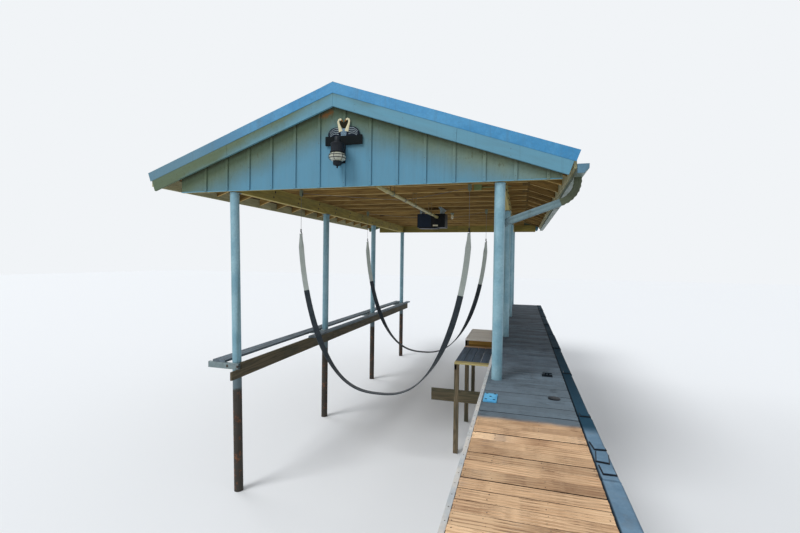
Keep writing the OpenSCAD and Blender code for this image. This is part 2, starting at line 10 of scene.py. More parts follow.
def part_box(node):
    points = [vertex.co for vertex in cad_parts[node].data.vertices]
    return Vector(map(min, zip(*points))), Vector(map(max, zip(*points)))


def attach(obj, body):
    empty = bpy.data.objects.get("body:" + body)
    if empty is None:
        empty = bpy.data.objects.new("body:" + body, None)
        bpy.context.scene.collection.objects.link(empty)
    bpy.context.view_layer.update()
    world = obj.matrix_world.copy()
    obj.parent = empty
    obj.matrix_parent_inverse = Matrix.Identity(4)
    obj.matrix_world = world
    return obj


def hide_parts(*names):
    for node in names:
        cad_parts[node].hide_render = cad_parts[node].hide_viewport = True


# Boathouse over a slip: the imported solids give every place, and this script gives the finish
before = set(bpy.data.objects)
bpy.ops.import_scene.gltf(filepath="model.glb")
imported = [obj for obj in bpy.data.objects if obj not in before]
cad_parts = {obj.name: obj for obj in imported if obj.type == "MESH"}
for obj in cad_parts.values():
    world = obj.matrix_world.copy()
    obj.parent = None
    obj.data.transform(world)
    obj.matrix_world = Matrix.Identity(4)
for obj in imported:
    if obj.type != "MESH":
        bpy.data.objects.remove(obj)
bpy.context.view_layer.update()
rng = random.Random(11)
boxes = {name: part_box(name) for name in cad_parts}


def rgb(code):
    # a screen colour such as "7a96a6" as the linear numbers that sockets take
    shares = [value / 255 for value in bytes.fromhex(code)]
    return (*(c / 12.92 if c <= 0.04045 else ((c + 0.055) / 1.055) ** 2.4 for c in shares), 1.0)


def colours(codes):
    return [rgb(code) for code in codes.split()]


def stray(size):
    return rng.uniform(-size, size)


def newObject(name, data):
    made = bpy.data.objects.new(name, data)
    bpy.context.scene.collection.objects.link(made)
    return made


def low(node):
    return boxes[node][0]


def high(node):
    return boxes[node][1]


# Sizes that several pieces share, read from the frame
ridgeX = (low("ridge_cap").x + high("ridge_cap").x) / 2
boardsTop = high("left_roof_boards").z
roofHalf = high("right_roof_boards").x - ridgeX
sheetReach = high("right_roof_sheet").x - ridgeX
sheetRise = high("right_roof_sheet").z - boardsTop
pitch = (high("right_roof_sheet").z - low("right_roof_sheet").z - sheetRise) / sheetReach
slope = atan(pitch)
plumb = 1 / cos(slope)
boardsRise = boardsTop - pitch * roofHalf - low("right_roof_boards").z
frontY, rearY = low("right_roof_boards").y, high("right_roof_boards").y
bay = (low("right_post_4").y + high("right_post_4").y) / 6
leftX = (low("left_post_2").x + high("left_post_2").x) / 2
postRadius = (high("right_post_1").x - low("right_post_1").x) / 2
postTop = high("right_post_1").z
beamFoot, beamTop = low("post_beams").z, high("post_beams").z
deckTop = high("deck_boards").z
timber = 0.038
trussCount = 15
trussStart = low("ceiling_joists").y
trussGap = (high("ceiling_joists").y - timber - trussStart) / (trussCount - 1)


def trussY(n):
    return trussStart + n * trussGap


def underRoof(side, run, drop=0.0):
    # (x, z) at a level distance from the ridge, straight down from the top of the roof boards
    return (ridgeX + side * run, boardsTop - pitch * run - drop)


def roofOutline(side, corners):
    return [underRoof(side, run, drop) for run, drop in corners]


def roofWays(side):
    # the ridge line at the top of the boards, the way down the slope, and the way out of it
    return (Vector((ridgeX, 0, boardsTop)), Vector((side * cos(slope), 0, -sin(slope))),
            Vector((side * sin(slope), 0, cos(slope))))


print("frame read: ridge at", round(ridgeX, 3), "pitch", round(pitch, 4))


# Camera and light

cameraLook = {"lens": 18.85, "place": (0.283, -5.811, 3.808), "yaw": 16.04, "pitch": -1.0, "roll": 0.79}


def placeCamera(look):
    data = bpy.data.cameras.new("viewCamera")
    data.sensor_width = 36
    data.lens = look["lens"]
    data.clip_end = 300
    made = newObject("viewCamera", data)
    yaw, tip, roll = (radians(look[key]) for key in ("yaw", "pitch", "roll"))
    ahead = Vector((-sin(yaw) * cos(tip), cos(yaw) * cos(tip), sin(tip)))
    side = Vector((cos(yaw), sin(yaw), 0))
    above = side.cross(ahead)
    rolledSide = side * cos(roll) + above * sin(roll)
    rolledUp = above * cos(roll) - side * sin(roll)
    made.matrix_world = Matrix((rolledSide, rolledUp, -ahead)).transposed().to_4x4()
    made.location = look["place"]
    bpy.context.scene.camera = made


# each lamp is (strength, softness, height, side) with the angles in degrees, side 0 being the camera's
lightLook = {"ambient": 0.55, "lamps": {"key": (1.7, 24, 48, -35), "fill": (0.8, 34, 24, -112)},
             "floor": rgb("eceff2"), "backdrop": rgb("f1f4f7"), "floorReach": 90}


def lightScene(look):
    scene = bpy.context.scene
    scene.view_settings.view_transform = "Standard"
    world = bpy.data.worlds.new("studio")
    world.use_nodes = True
    scene.world = world
    world.node_tree.nodes.clear()
    openTrees.append(world.node_tree)
    soft = addNode("ShaderNodeBackground", {"Color": rgb("fafcff"), "Strength": look["ambient"]})
    shown = addNode("ShaderNodeBackground", {"Color": look["backdrop"], "Strength": 1.0})
    path = addNode("ShaderNodeLightPath")
    seen = maths("MAXIMUM", path["Is Camera Ray"], path["Is Transmission Ray"])
    seen = maths("MAXIMUM", seen, path["Is Glossy Ray"])
    mixed = addNode("ShaderNodeMixShader", {0: seen, 1: soft[0], 2: shown[0]})
    addNode("ShaderNodeOutputWorld", {"Surface": mixed[0]})
    for name, (strength, softness, height, side) in look["lamps"].items():
        lamp = bpy.data.lights.new(name, "SUN")
        lamp.energy = strength
        lamp.angle = radians(softness)
        made = newObject(name, lamp)
        rise, turn = radians(height), radians(side)
        toward = Vector((sin(turn) * cos(rise), -cos(turn) * cos(rise), sin(rise)))
        made.rotation_mode = "QUATERNION"
        made.rotation_quaternion = toward.to_track_quat("Z", "Y")


def layFloor(look):
    reach = look["floorReach"]
    mesh = bpy.data.meshes.new("studioFloor")
    mesh.from_pydata([(x * reach, y * reach, -0.002) for x, y in ((-1, -1), (1, -1), (1, 1), (-1, 1))], [],
                     [(0, 1, 2, 3)])
    paint = bpy.data.materials.new("floorPaint")
    paint.use_nodes = True
    for label, value in (("Base Color", look["floor"]), ("Roughness", 0.9), ("Specular IOR Level", 0.1)):
        paint.node_tree.nodes["Principled BSDF"].inputs[label].default_value = value
    mesh.materials.append(paint)
    newObject("studioFloor", mesh)


# Node helpers: they add to the tree that was opened last

openTrees = []


def addNode(kind, inputs=None, **settings):
    # makes a node, sets or links its inputs, and gives its outputs
    tree = openTrees[-1]
    made = tree.nodes.new(kind)
    for key, value in settings.items():
        setattr(made, key, value)
    for key, value in (inputs or {}).items():
        if isinstance(value, bpy.types.NodeSocket):
            tree.links.new(value, made.inputs[key])
        else:
            made.inputs[key].default_value = value
    return made.outputs


def maths(operation, a, b=0.0):
    return addNode("ShaderNodeMath", {0: a, 1: b}, operation=operation)[0]


def plus(a, b):
    return maths("ADD", a, b)


def minus(a, b):
    return maths("SUBTRACT", a, b)


def times(a, b):
    return maths("MULTIPLY", a, b)


def vectors(operation, a, b):
    return addNode("ShaderNodeVectorMath", {0: a, 3 if operation == "SCALE" else 1: b},
                   operation=operation)[0]


def mixColour(factor, a, b):
    return addNode("ShaderNodeMix", {0: factor, 6: a, 7: b}, data_type="RGBA")[2]


def laid(mask, share, under, over):
    # a colour laid over another where the mask is, at a share of its strength
    return mixColour(times(mask, share), under, over)


def tintedByPlace(place, colour, fades):
    # each tint is (axis, where it starts, where it is full, share, colour)
    for axis, start, full, share, over in fades:
        colour = laid(spread(axisOf(place, axis), start, full), share, colour, rgb(over))
    return colour


def spread(value, start, end, toLow=0.0, toHigh=1.0):
    # stretches part of a value's range to the whole of another, smoothly
    return addNode("ShaderNodeMapRange", {"Value": value, "From Min": start, "From Max": end,
                                          "To Min": toLow, "To Max": toHigh},
                   interpolation_type="SMOOTHSTEP")[0]


def noise(vector, scale, detail=3.0, rough=0.55, twist=0.0):
    # three scales stretch the noise along its axes
    if isinstance(scale, tuple):
        vector, scale = vectors("MULTIPLY", vector, scale), 1.0
    return addNode("ShaderNodeTexNoise", {"Vector": vector, "Scale": scale, "Detail": detail,
                                          "Roughness": rough, "Distortion": twist})[0]


def cloud(vector, scale, detail, rough, start, end):
    return spread(noise(vector, scale, detail, rough), start, end)


def axisOf(vector, axis):
    return addNode("ShaderNodeSeparateXYZ", {0: vector})[axis]


socketWords = {float: "Float", int: "Int", tuple: "Color"}


def newGroup(kind, name, takes, gives):
    # a value's type says what its input is, and a word names the kind of one that has no value
    tree = bpy.data.node_groups.new(name, kind)
    for label, value in takes.items():
        word = socketWords.get(type(value), value)
        socket = tree.interface.new_socket(name=label, in_out="INPUT", socket_type="NodeSocket" + word)
        if word != value:
            socket.default_value = value
    for label, word in gives.items():
        tree.interface.new_socket(name=label, in_out="OUTPUT", socket_type="NodeSocket" + word)
    openTrees.append(tree)
    return tree.nodes.new("NodeGroupInput").outputs, tree.nodes.new("NodeGroupOutput").inputs


def closeGroup(out, values):
    tree = openTrees.pop()
    for socket, value in zip(out, values):
        tree.links.new(value, socket)
    return tree


skinGives = {"Color": "Color", "Rough": "Float", "Height": "Float"}


def buildTimberGrain():
    # boards: rings and fibres along the grain, knots, checks, stains and a tone of their own
    given, out = newGroup(
        "ShaderNodeTree", "timberGrain",
        {"Grain": "Vector", "Tone": 0.5, "Base": rgb("967850"), "Dark": rgb("5a4128"),
         "Light": rgb("bea078"), "Stain": rgb("50504b"), "Rings": 0.5, "Fibre": 0.5, "Knots": 0.6,
         "Checks": 0.6, "Stains": 0.4, "ToneRange": 0.3}, skinGives)
    tone = given["Tone"]
    grain = vectors("ADD", given["Grain"], vectors("SCALE", (37.3, 11.9, 5.3), tone))
    fibre = cloud(grain, (2.2, 75, 1), 5, 0.6, 0.33, 0.68)
    rings = spread(maths("SINE", times(noise(grain, (0.45, 7, 1), 2, 0.5, 0.4), 62)), -0.3, 1.0)
    cells = addNode("ShaderNodeTexVoronoi", {"Vector": vectors("MULTIPLY", grain, (1.1, 6.5, 1)),
                                             "Scale": 1.0})
    knots = spread(cells["Distance"], 0.13, 0.05)
    checks = cloud(grain, (0.7, 55, 1), 3, 0.5, 0.66, 0.72)
    patches = cloud(grain, (1.3, 8, 1), 6, 0.65, 0.42, 0.66)
    colour = laid(fibre, given["Fibre"], given["Base"], given["Light"])
    colour = laid(rings, given["Rings"], colour, given["Dark"])
    colour = laid(patches, given["Stains"], colour, given["Stain"])
    colour = laid(knots, given["Knots"], colour, mixColour(0.55, given["Dark"], rgb("1c1813")))
    colour = laid(checks, given["Checks"], colour, mixColour(0.8, colour, rgb("1a1612")))
    lift = times(minus(tone, 0.5), given["ToneRange"])
    colour = addNode("ShaderNodeHueSaturation", {"Value": plus(lift, 1.0), "Color": colour})[0]
    ridges = minus(times(fibre, 0.55), times(rings, 0.25))
    height = minus(ridges, times(checks, 0.9))
    return closeGroup(out, (colour, spread(fibre, 0, 1, 0.68, 0.86), height))


def buildHardSkin():
    # metal, paint and vinyl: cloudy patches, spangle, runs down the face and grime
    given, out = newGroup(
        "ShaderNodeTree", "hardSkin",
        {"Place": "Vector", "Base": rgb("788c96"), "Pale": rgb("a0afb4"), "Dirt": rgb("464641"),
         "Clouds": 0.5, "Spangle": 0.1, "Runs": 0.3, "Grime": 0.4, "Size": 1.0, "Smooth": 0.42}, skinGives)
    place = vectors("SCALE", given["Place"], given["Size"])
    clouds = cloud(place, 2.6, 6, 0.6, 0.36, 0.66)
    cells = addNode("ShaderNodeTexVoronoi", {"Vector": place, "Scale": 38.0})
    spangle = spread(cells["Color"], 0.1, 0.9, -0.5, 0.5)
    runs = cloud(place, (11, 11, 0.5), 4, 0.6, 0.52, 0.72)
    grime = cloud(place, 8, 9, 0.7, 0.55, 0.74)
    colour = laid(clouds, given["Clouds"], given["Base"], given["Pale"])
    value = plus(times(spangle, given["Spangle"]), 1.0)
    colour = addNode("ShaderNodeHueSaturation", {"Value": value, "Color": colour})[0]
    colour = laid(runs, given["Runs"], colour, given["Dirt"])
    colour = laid(grime, given["Grime"], colour, given["Dirt"])
    rough = plus(plus(given["Smooth"], times(clouds, 0.16)), times(grime, 0.2))
    return closeGroup(out, (colour, rough, minus(times(spangle, 0.3), grime)))


def buildRustBloom():
    # rust in spots and clusters: a mask, and a colour that runs from brown to orange
    given, out = newGroup("ShaderNodeTree", "rustBloom", {"Place": "Vector", "Scale": 6.0, "Amount": 0.5},
                          {"Mask": "Float", "Color": "Color"})
    edge = minus(0.78, times(given["Amount"], 0.4))
    bloom = minus(noise(given["Place"], given["Scale"], 9, 0.72), edge)
    tint = cloud(given["Place"], 22, 4, 0.55, 0.35, 0.65)
    colour = mixColour(tint, rgb("3a2a20"), rgb("70482e"))
    return closeGroup(out, (spread(bloom, 0.0, 0.06), colour))


timberGrain = buildTimberGrain()
hardSkin = buildHardSkin()
rustBloom = buildRustBloom()


def startMaterial(name):
    made = bpy.data.materials.new(name)
    made.use_nodes = True
    openTrees.append(made.node_tree)
    return made, addNode("ShaderNodeTexCoord")["Object"]


def finishShader(made, colour, rough, height, bump, distance, plain):
    shader = made.node_tree.nodes["Principled BSDF"]
    relief = addNode("ShaderNodeBump", {"Height": height, "Strength": bump, "Distance": distance})
    for label, socket in (("Base Color", colour), ("Roughness", rough), ("Normal", relief[0])):
        made.node_tree.links.new(socket, shader.inputs[label])
    for label, value in plain.items():
        shader.inputs[label].default_value = value
    return made


def boardPlaces():
    # the grain's own UV and each board's tone
    return (addNode("ShaderNodeUVMap", uv_map="grain")[0],
            addNode("ShaderNodeAttribute", attribute_name="tone")["Fac"])


# Timber finishes: base, dark, light and stain colours, and what differs from the usual grain
timberLooks = {
    # the last colour of a frame or joist finish is a painted highlight on the faces that point down
    "frameTimber": ("8a7c3c 5c4e22 ac9c56 64623a", {"Rings": 0.35, "Stains": 0.5, "lowerEdge": "baaa68"}),
    "joistTimber": ("92743e 5c4220 b89a5e 624e2c",
                    {"Rings": 0.45, "Knots": 1.0, "ToneRange": 0.4, "lowerEdge": "d2b470"}),
    "sheathing": ("70502c 46301a 8c6c42 463420", {"Knots": 1.0, "ToneRange": 0.55}),
    "pileTimber": ("685c48 3a3228 867860 424638", {"Stains": 0.7, "Checks": 0.9}),
    "landingTan": ("cebe82 968250 e0d4a0 9c8e64",),
    "landingSlat": ("546880 2e3a4a 7a8ea2 424e56", {"ToneRange": 0.4, "Rings": 0.3}),
    "landingPink": ("e2be9c ac8666 f2dac0 b4987e", {"Rings": 0.3}),
    "landingGold": ("a8803a 644c22 c8a45c 6a5630",),
    "landingPale": ("f8f3ea cec2b0 fcfaf6 d8d0c0",
                    {"ToneRange": 0.16, "Rings": 0.12, "Stains": 0.15, "Fibre": 0.4, "Knots": 0.25}),
    "catwalkTimber": ("5c6a76 363e44 7e8e98 4a4e4a", {"Stains": 0.5, "Checks": 0.8, "ToneRange": 0.4}),
    "wetTimber": ("504836 2c271c 6a624c 34362a", {"Stains": 0.7, "Checks": 0.8}),
    "eaveTimber": ("a6a27c 746e4e c0be9c 7a7a5c", {"Rings": 0.2, "Checks": 0.4, "Stains": 0.5}),
}


def timberMaterial(name, look, more=None):
    made = startMaterial(name)[0]
    grain, tone = boardPlaces()
    values = {"Grain": grain, "Tone": tone, **dict(zip(("Base", "Dark", "Light", "Stain"), colours(look))),
              **(more or {})}
    lowerEdge = values.pop("lowerEdge", None)
    got = addNode("ShaderNodeGroup", values, node_tree=timberGrain)
    colour = got["Color"]
    if lowerEdge:
        # painted highlight: the faces that point down are made lighter, as if lit by light bounced up from
        # below
        facing = axisOf(addNode("ShaderNodeNewGeometry")["Normal"], 2)
        colour = laid(spread(facing, -0.5, -0.85), 0.6, colour, rgb(lowerEdge))
    return finishShader(made, colour, got["Rough"], got["Height"], 0.35, 0.0025,
                        {"Specular IOR Level": 0.3})


# Hard finishes: base, pale and dirt colours (for the gutter partly a painted reflection), metallic share,
# and what differs from the usual skin
signSkin = {"Size": 5.0, "Runs": 0.0, "Grime": 0.15, "Smooth": 0.65, "shine": 0.1}
hardLooks = {
    "roofSheet": ("7a96a6 98b0bc 586264", 0.35, {"Grime": 0.25}),
    "rakeMetal": ("3280b0 569cc6 426a80", 0.1,
                  {"Grime": 0.3, "Runs": 0.4, "fades": ((0, -2.6, -5.4, 0.8, "5c7a82"),)}),
    # painted reflection: the gutter's olive-green, its dirt colour most of all, is partly trees reflected
    # in it along with real dirt; the end plates' blue is pale metal as it looks in skylit shade
    "gutterMetal": ("687a76 869280 545a36", 0.05, {"Runs": 0.7, "Grime": 0.5}),
    "gutterPlate": ("50788e 688c9e 485854", 0.1),
    "spoutMetal": ("5c767e 728a8e 42504a", 0.1, {"Runs": 0.4}),
    "spoutElbow": ("444c36 58624a 282e20", 0.1, {"Runs": 0.4, "Grime": 0.5}),
    "plainSteel": ("708084 909e9e 4c463a", 0.4, {"Spangle": 0.2}),
    "khakiPipe": ("968e5c b2aa78 625636", 0.1, {"Runs": 0.2, "Grime": 0.5}),
    "plateSteel": ("766238 887244 5c4828", 0.0, {"Grime": 0.6, "Smooth": 0.7}),
    "cheekSteel": ("687462 848e7a 403c2a", 0.1, {"Grime": 0.6}),
    "fixingSteel": ("686864 888882 56402e", 0.4, {"Grime": 0.6}),
    "rustyNail": ("3e3026 544234 241c16", 0.2, {"Grime": 0.6}),
    "blackMetal": ("10151c 1e2630 2e302e", 0.0, {"Grime": 0.25, "Size": 2.5, "shine": 0.2}),
    "motorBlack": ("0c0f12 161b1f 2c2a24", 0.0, {"shine": 0.15}),
    "motorBlue": ("101e2e 1c2c3e 303230", 0.0, {"shine": 0.2}),
    # painted shadow: the cap goes dark navy behind the roof's shadow line near Y -1.45 and darker still
    # further back, and its inner edge by the deck is painted dark as the shaded gap
    "capVinyl": ("627e94 7a96ac 707a80", 0.0, {"Clouds": 0.7, "Grime": 0.45, "Smooth": 0.6, "shine": 0.02,
                                               "fades": ((1, -1.62, -1.38, 0.9, "163a4c"),
                                                         (1, -1.2, 0.4, 0.6, "061822"),
                                                         (0, 0.9, 0.886, 0.9, "0c1218"))}),
    "paleLabel": ("cec8aa ded8be 968e6e", 0.0, {"Size": 3.0}),
    "boxGreen": ("768654 8a9868 4c5034", 0.0, {"Size": 2.0}),
    "coverBlue": ("54aada 74c0e6 3c6a86", 0.0, {"Size": 2.0}),
    "stripPaint": ("d0ccc6 b4babe 7a7a74", 0.0, {"Clouds": 1.0, "Runs": 0.15, "Grime": 0.6}),
    "lampGlass": ("969882 bec2b8 606454", 0.0,
                  {"Clouds": 0.8, "Runs": 0.0, "Grime": 0.3, "Size": 3.0, "Smooth": 0.12}),
}
for part, look in {"Ground": "0c1214 161e20 282c28", "Cream": "d6d0b0 c4be9c 8c846c",
                   "Wing": "101824 182230 282e32", "Feather": "9eacb2 88969c 5a6466",
                   "Heart": "1a1a0e 262416 302c1e", "Breast": "7690a2 627a8c 48545a",
                   "Bill": "966838 78502a 503c28"}.items():
    hardLooks["sign" + part] = (look, 0.0, signSkin)


def hardMaterial(name, look, metallic=0.0, more=None):
    made, place = startMaterial(name)
    values = {"Place": place, **dict(zip(("Base", "Pale", "Dirt"), colours(look))), **(more or {})}
    fades, shine = values.pop("fades", ()), values.pop("shine", 0.5)
    got = addNode("ShaderNodeGroup", values, node_tree=hardSkin)
    plain = {"Metallic": metallic, "Specular IOR Level": shine,
             "Coat Weight": 0.5 if name == "lampGlass" else 0.0}
    colour = tintedByPlace(place, got["Color"], fades)
    return finishShader(made, colour, got["Rough"], got["Height"], 0.15, 0.001, plain)


postLook = {"clean": rgb("749eae"), "pale": rgb("9ec0ca"), "dirt": rgb("54706e"),
            "damp": rgb("505c62"), "wet": rgb("36322c"), "dampTop": 1.92, "wetTop": 1.66}


def postMaterial():
    # blue-grey zinc above, a grey tide line, and dark rusty pipe below it
    made, place = startMaterial("postPipe")
    zinc = addNode("ShaderNodeGroup", {"Place": place, "Base": postLook["clean"], "Pale": postLook["pale"],
                                       "Dirt": postLook["dirt"], "Clouds": 0.6, "Runs": 0.55,
                                       "Grime": 0.25}, node_tree=hardSkin)
    rust, specks = (addNode("ShaderNodeGroup", {"Place": place, "Scale": scale, "Amount": amount},
                            node_tree=rustBloom) for scale, amount in ((9.0, 0.62), (14.0, 0.16)))
    level = plus(axisOf(place, 2), times(noise(place, 9, 4), 0.14))
    damp = spread(level, postLook["dampTop"] + 0.1, postLook["dampTop"] + 0.03)
    wet = spread(level, postLook["wetTop"] + 0.1, postLook["wetTop"] + 0.05)
    colour = mixColour(specks["Mask"], zinc["Color"], specks["Color"])
    colour = laid(damp, 0.85, colour, postLook["damp"])
    colour = mixColour(wet, colour, mixColour(rust["Mask"], postLook["wet"], rust["Color"]))
    rough = plus(zinc["Rough"], times(wet, 0.25))
    relief = minus(zinc["Height"], times(rust["Mask"], wet))
    return finishShader(made, colour, rough, relief, 0.25, 0.002, {"Metallic": 0.2})


# Painted boards: the film of mildew and painted shade starts and ends at given depths under the roof line,
# leak is a brown patch by the peak
# painted shade: the siding and rake board colours are off-white paint as it looks in blue skylit shade
paintLook = {"siding": {"colours": "5489a2 6296ae 547682",
                        "mildewAndShade": (0.92, 0.36), "lean": 0.03, "runs": 0.14, "leak": (-0.12, 0.36)},
             "rakePaint": {"colours": "5c92a8 74a4b6 546c70",
                           "mildewAndShade": (0.3, 0.02), "lean": 0.09, "runs": 0.14, "leak": None},
             "shadedFilm": rgb("545e2e"), "shadedFilmRight": rgb("727a52"), "mould": rgb("424222"),
             "run": rgb("3e545c"), "leak": rgb("86541e"), "rakeShadow": rgb("36341e")}


def paintMaterial(name):
    # faint grain, a film of mildew and painted shade that thickens up towards the roof and is darker to the
    # left, specks and runs
    look = paintLook[name]
    made, place = startMaterial(name)
    grain, tone = boardPlaces()
    base, pale, stain = colours(look["colours"])
    wood = addNode("ShaderNodeGroup", {"Grain": grain, "Tone": tone, "Base": base, "Dark": stain,
                                       "Light": pale, "Stain": stain, "Rings": 0.04, "Fibre": 0.16,
                                       "Knots": 0.05, "Checks": 0.1, "Stains": 0.16, "ToneRange": 0.06},
                   node_tree=timberGrain)
    across = minus(axisOf(place, 0), ridgeX)
    fall = times(maths("ABSOLUTE", across), pitch)
    under = minus(minus(boardsTop, axisOf(place, 2)), fall)
    ragged = plus(under, times(minus(noise(place, 1.7, 5, 0.6), 0.5), 0.28))
    mildewAndShade = spread(plus(ragged, times(across, look["lean"])), *look["mildewAndShade"])
    speckle = cloud(place, 22, 7, 0.72, 0.46, 0.64)
    specks = cloud(place, (26, 26, 9), 3, 0.5, 0.66, 0.72)
    # painted shade: the film is darker on the left and lighter towards the right
    towardsRight = spread(across, 0.6, 2.6)
    shadedFilm = mixColour(towardsRight, paintLook["shadedFilm"], paintLook["shadedFilmRight"])
    colour = laid(mildewAndShade, 0.86, wood["Color"], shadedFilm)
    colour = laid(times(mildewAndShade, speckle), 0.16, colour, paintLook["mould"])
    colour = laid(times(mildewAndShade, specks), 0.5, colour, paintLook["mould"])
    colour = laid(cloud(place, (15, 4, 0.6), 4, 0.6, 0.56, 0.74), look["runs"], colour, paintLook["run"])
    if look["leak"]:
        # painted shadow: a dark band just below the rake boards; and one brown patch
        torn = noise(place, 16, 7, 0.7)
        rakeShadow = spread(plus(under, times(torn, 0.09)), 0.42, 0.36)
        colour = laid(rakeShadow, 0.5, colour, paintLook["rakeShadow"])
        spotX, spotDrop = look["leak"]
        spot = addNode("ShaderNodeCombineXYZ", {0: times(minus(across, spotX), 8.0),
                                                1: times(minus(under, spotDrop), 20.0)})
        size = addNode("ShaderNodeVectorMath", {0: spot[0]}, operation="LENGTH")["Value"]
        patch = spread(plus(size, times(torn, 3.2)), 2.9, 1.6)
        colour = laid(patch, 0.9, colour, paintLook["leak"])
    return finishShader(made, colour, wood["Rough"], wood["Height"], 0.2, 0.0015, {})


walkLook = {"board": 0.1363, "gap": 0.0088, "edge": 0.0045, "hole": 0.0785, "stringer": 0.05,
            "bearer": 0.09, "pile": 0.15, "crown": 0.0012, "nailPlaces": (0.22, 0.78), "jointPast": 0.115,
            "stripNailGap": 0.152}
# each deck colour pair is the sunlit boards, then the same boards painted darker and cooler as the roof's
# shadow; the painted shadow starts along a line across the deck near Y -1.45
deckLook = {"Base": "d4ac84 3e4c58", "Dark": "68442e 1c222a",
            "Light": "eecea8 708290", "Stain": "80583c 2a2a32",
            "shadowLine": -1.45, "blend": 0.16, "edge": 0.016, "ragged": 0.022, "grey": rgb("8c7c76"),
            "gap": rgb("1a120e"), "near": rgb("7a8a94")}


def deckMaterial():
    # sun-bleached brown boards in front, and behind a line across the deck the roof's shadow painted in as
    # cooler, darker boards
    made, place = startMaterial("deckTimber")
    grain, tone = boardPlaces()
    wander = times(minus(noise(place, 1.1, 4), 0.5), 0.25)
    depth = plus(axisOf(place, 1), wander)
    shadowLine, blend = deckLook["shadowLine"], deckLook["blend"] / 2
    inRoofShadow = spread(depth, shadowLine - blend, shadowLine + blend)
    values = {label: mixColour(inRoofShadow, *colours(deckLook[label]))
              for label in ("Base", "Dark", "Light", "Stain")}
    values.update({"Grain": grain, "Tone": tone, "Rings": 0.32, "Fibre": 0.8, "Knots": 1.0, "Checks": 1.0,
                   "Stains": 0.35, "ToneRange": 0.5})
    got = addNode("ShaderNodeGroup", values, node_tree=timberGrain)
    # fine dark cracks and pale raised fibres
    shifted = vectors("ADD", grain, vectors("SCALE", (21.7, 7.1, 3.3), tone))
    cracks = cloud(shifted, (4.0, 60, 1), 8, 0.75, 0.55, 0.63)
    bands = cloud(shifted, (1.8, 24, 1), 7, 0.72, 0.46, 0.62)
    raised = cloud(shifted, (7.0, 70, 1), 7, 0.75, 0.54, 0.66)
    weather = cloud(shifted, (2.4, 9, 1), 8, 0.75, 0.55, 0.66)
    colour = laid(bands, 0.42, got["Color"], values["Stain"])
    colour = laid(raised, 0.3, colour, values["Light"])
    colour = laid(times(weather, minus(1.0, inRoofShadow)), 0.5, colour, deckLook["grey"])
    # painted light: the near colour lifts the painted shade towards the front of the deck
    colour = laid(times(spread(depth, 1.6, -1.0), inRoofShadow), 0.45, colour, deckLook["near"])
    colour = laid(cracks, 0.75, colour, values["Dark"])
    # each board is darker along its two long edges and its sides
    across = axisOf(grain, 1)
    inside = maths("MINIMUM", across, minus(walkLook["board"], across))
    ragged = minus(inside, times(noise(place, 14, 6, 0.7), deckLook["ragged"]))
    edge = spread(ragged, deckLook["edge"] - deckLook["ragged"] / 2, -0.004 - deckLook["ragged"] / 2)
    colour = laid(edge, 0.95, colour, deckLook["gap"])
    return finishShader(made, colour, got["Rough"], minus(got["Height"], cracks), 0.5, 0.003,
                        {"Specular IOR Level": 0.2})


# Webbing: pale and dark colours, and the twill's pitch
strapLooks = {"webbing": ("dee4de b0bab4", 0.0035), "sleeve": ("283a46 16222a", 0.006)}


def strapMaterial(name, look, weave):
    # a fine twill that follows the strap, with dirt in its hollows
    made, place = startMaterial(name)
    base, dark = colours(look)
    along = addNode("ShaderNodeUVMap", uv_map="grain")[0]
    first, second = axisOf(along, 0), axisOf(along, 1)
    warp, weft = (maths("SINE", times(way(first, second), 2 * pi / weave)) for way in (plus, minus))
    twill = spread(times(warp, weft), -0.6, 0.9)
    dirt = cloud(place, 7, 7, 0.7, 0.42, 0.68)
    colour = laid(dirt, 0.55, laid(twill, 0.5, dark, base), dark)
    rough = spread(dirt, 0, 1, 0.7, 0.92)
    return finishShader(made, colour, rough, twill, 0.4, 0.0012, {"Sheen Weight": 0.25})


materials = {name: timberMaterial(name, *look) for name, look in timberLooks.items()}
materials.update({name: hardMaterial(name, *look) for name, look in hardLooks.items()})
materials.update({name: strapMaterial(name, *look) for name, look in strapLooks.items()})
materials.update({name: paintMaterial(name) for name in ("siding", "rakePaint")})
materials.update({"postPipe": postMaterial(), "deckTimber": deckMaterial()})
print("materials made:", len(materials))


# Mesh helpers: every face has a UV in metres along and across the grain, every board a tone

building = []


def openMesh():
    # the mesh being built; once it is closed, the next shape starts another
    if not building:
        building.append(bmesh.new())
        building[0].loops.layers.uv.new("grain")
        building[0].verts.layers.float.new("tone")
    return building[0]


def circle(x, y, radius, sides):
    return [(x + radius * cos(a), y + radius * sin(a)) for a in (2 * pi * k / sides for k in range(sides))]


def spaced(start, end, gap):
    return [start + n * gap for n in range(ceil((end - start) / gap))]


def dress(faces, along, tone, material):
    bm = openMesh()
    uv = bm.loops.layers.uv["grain"]
    toneLayer = bm.verts.layers.float["tone"]
    along = Vector(along).normalized()
    for face in faces:
        face.normal_update()
        face.material_index = material
        across = face.normal.cross(along)
        if across.length > 0.3:
            first, second = along, across.normalized()
        else:
            # end grain
            second = face.normal.orthogonal().normalized()
            first = face.normal.cross(second) * 0.12
        for loop in face.loops:
            loop[uv].uv = (loop.vert.co.dot(first), loop.vert.co.dot(second))
            loop.vert[toneLayer] = tone


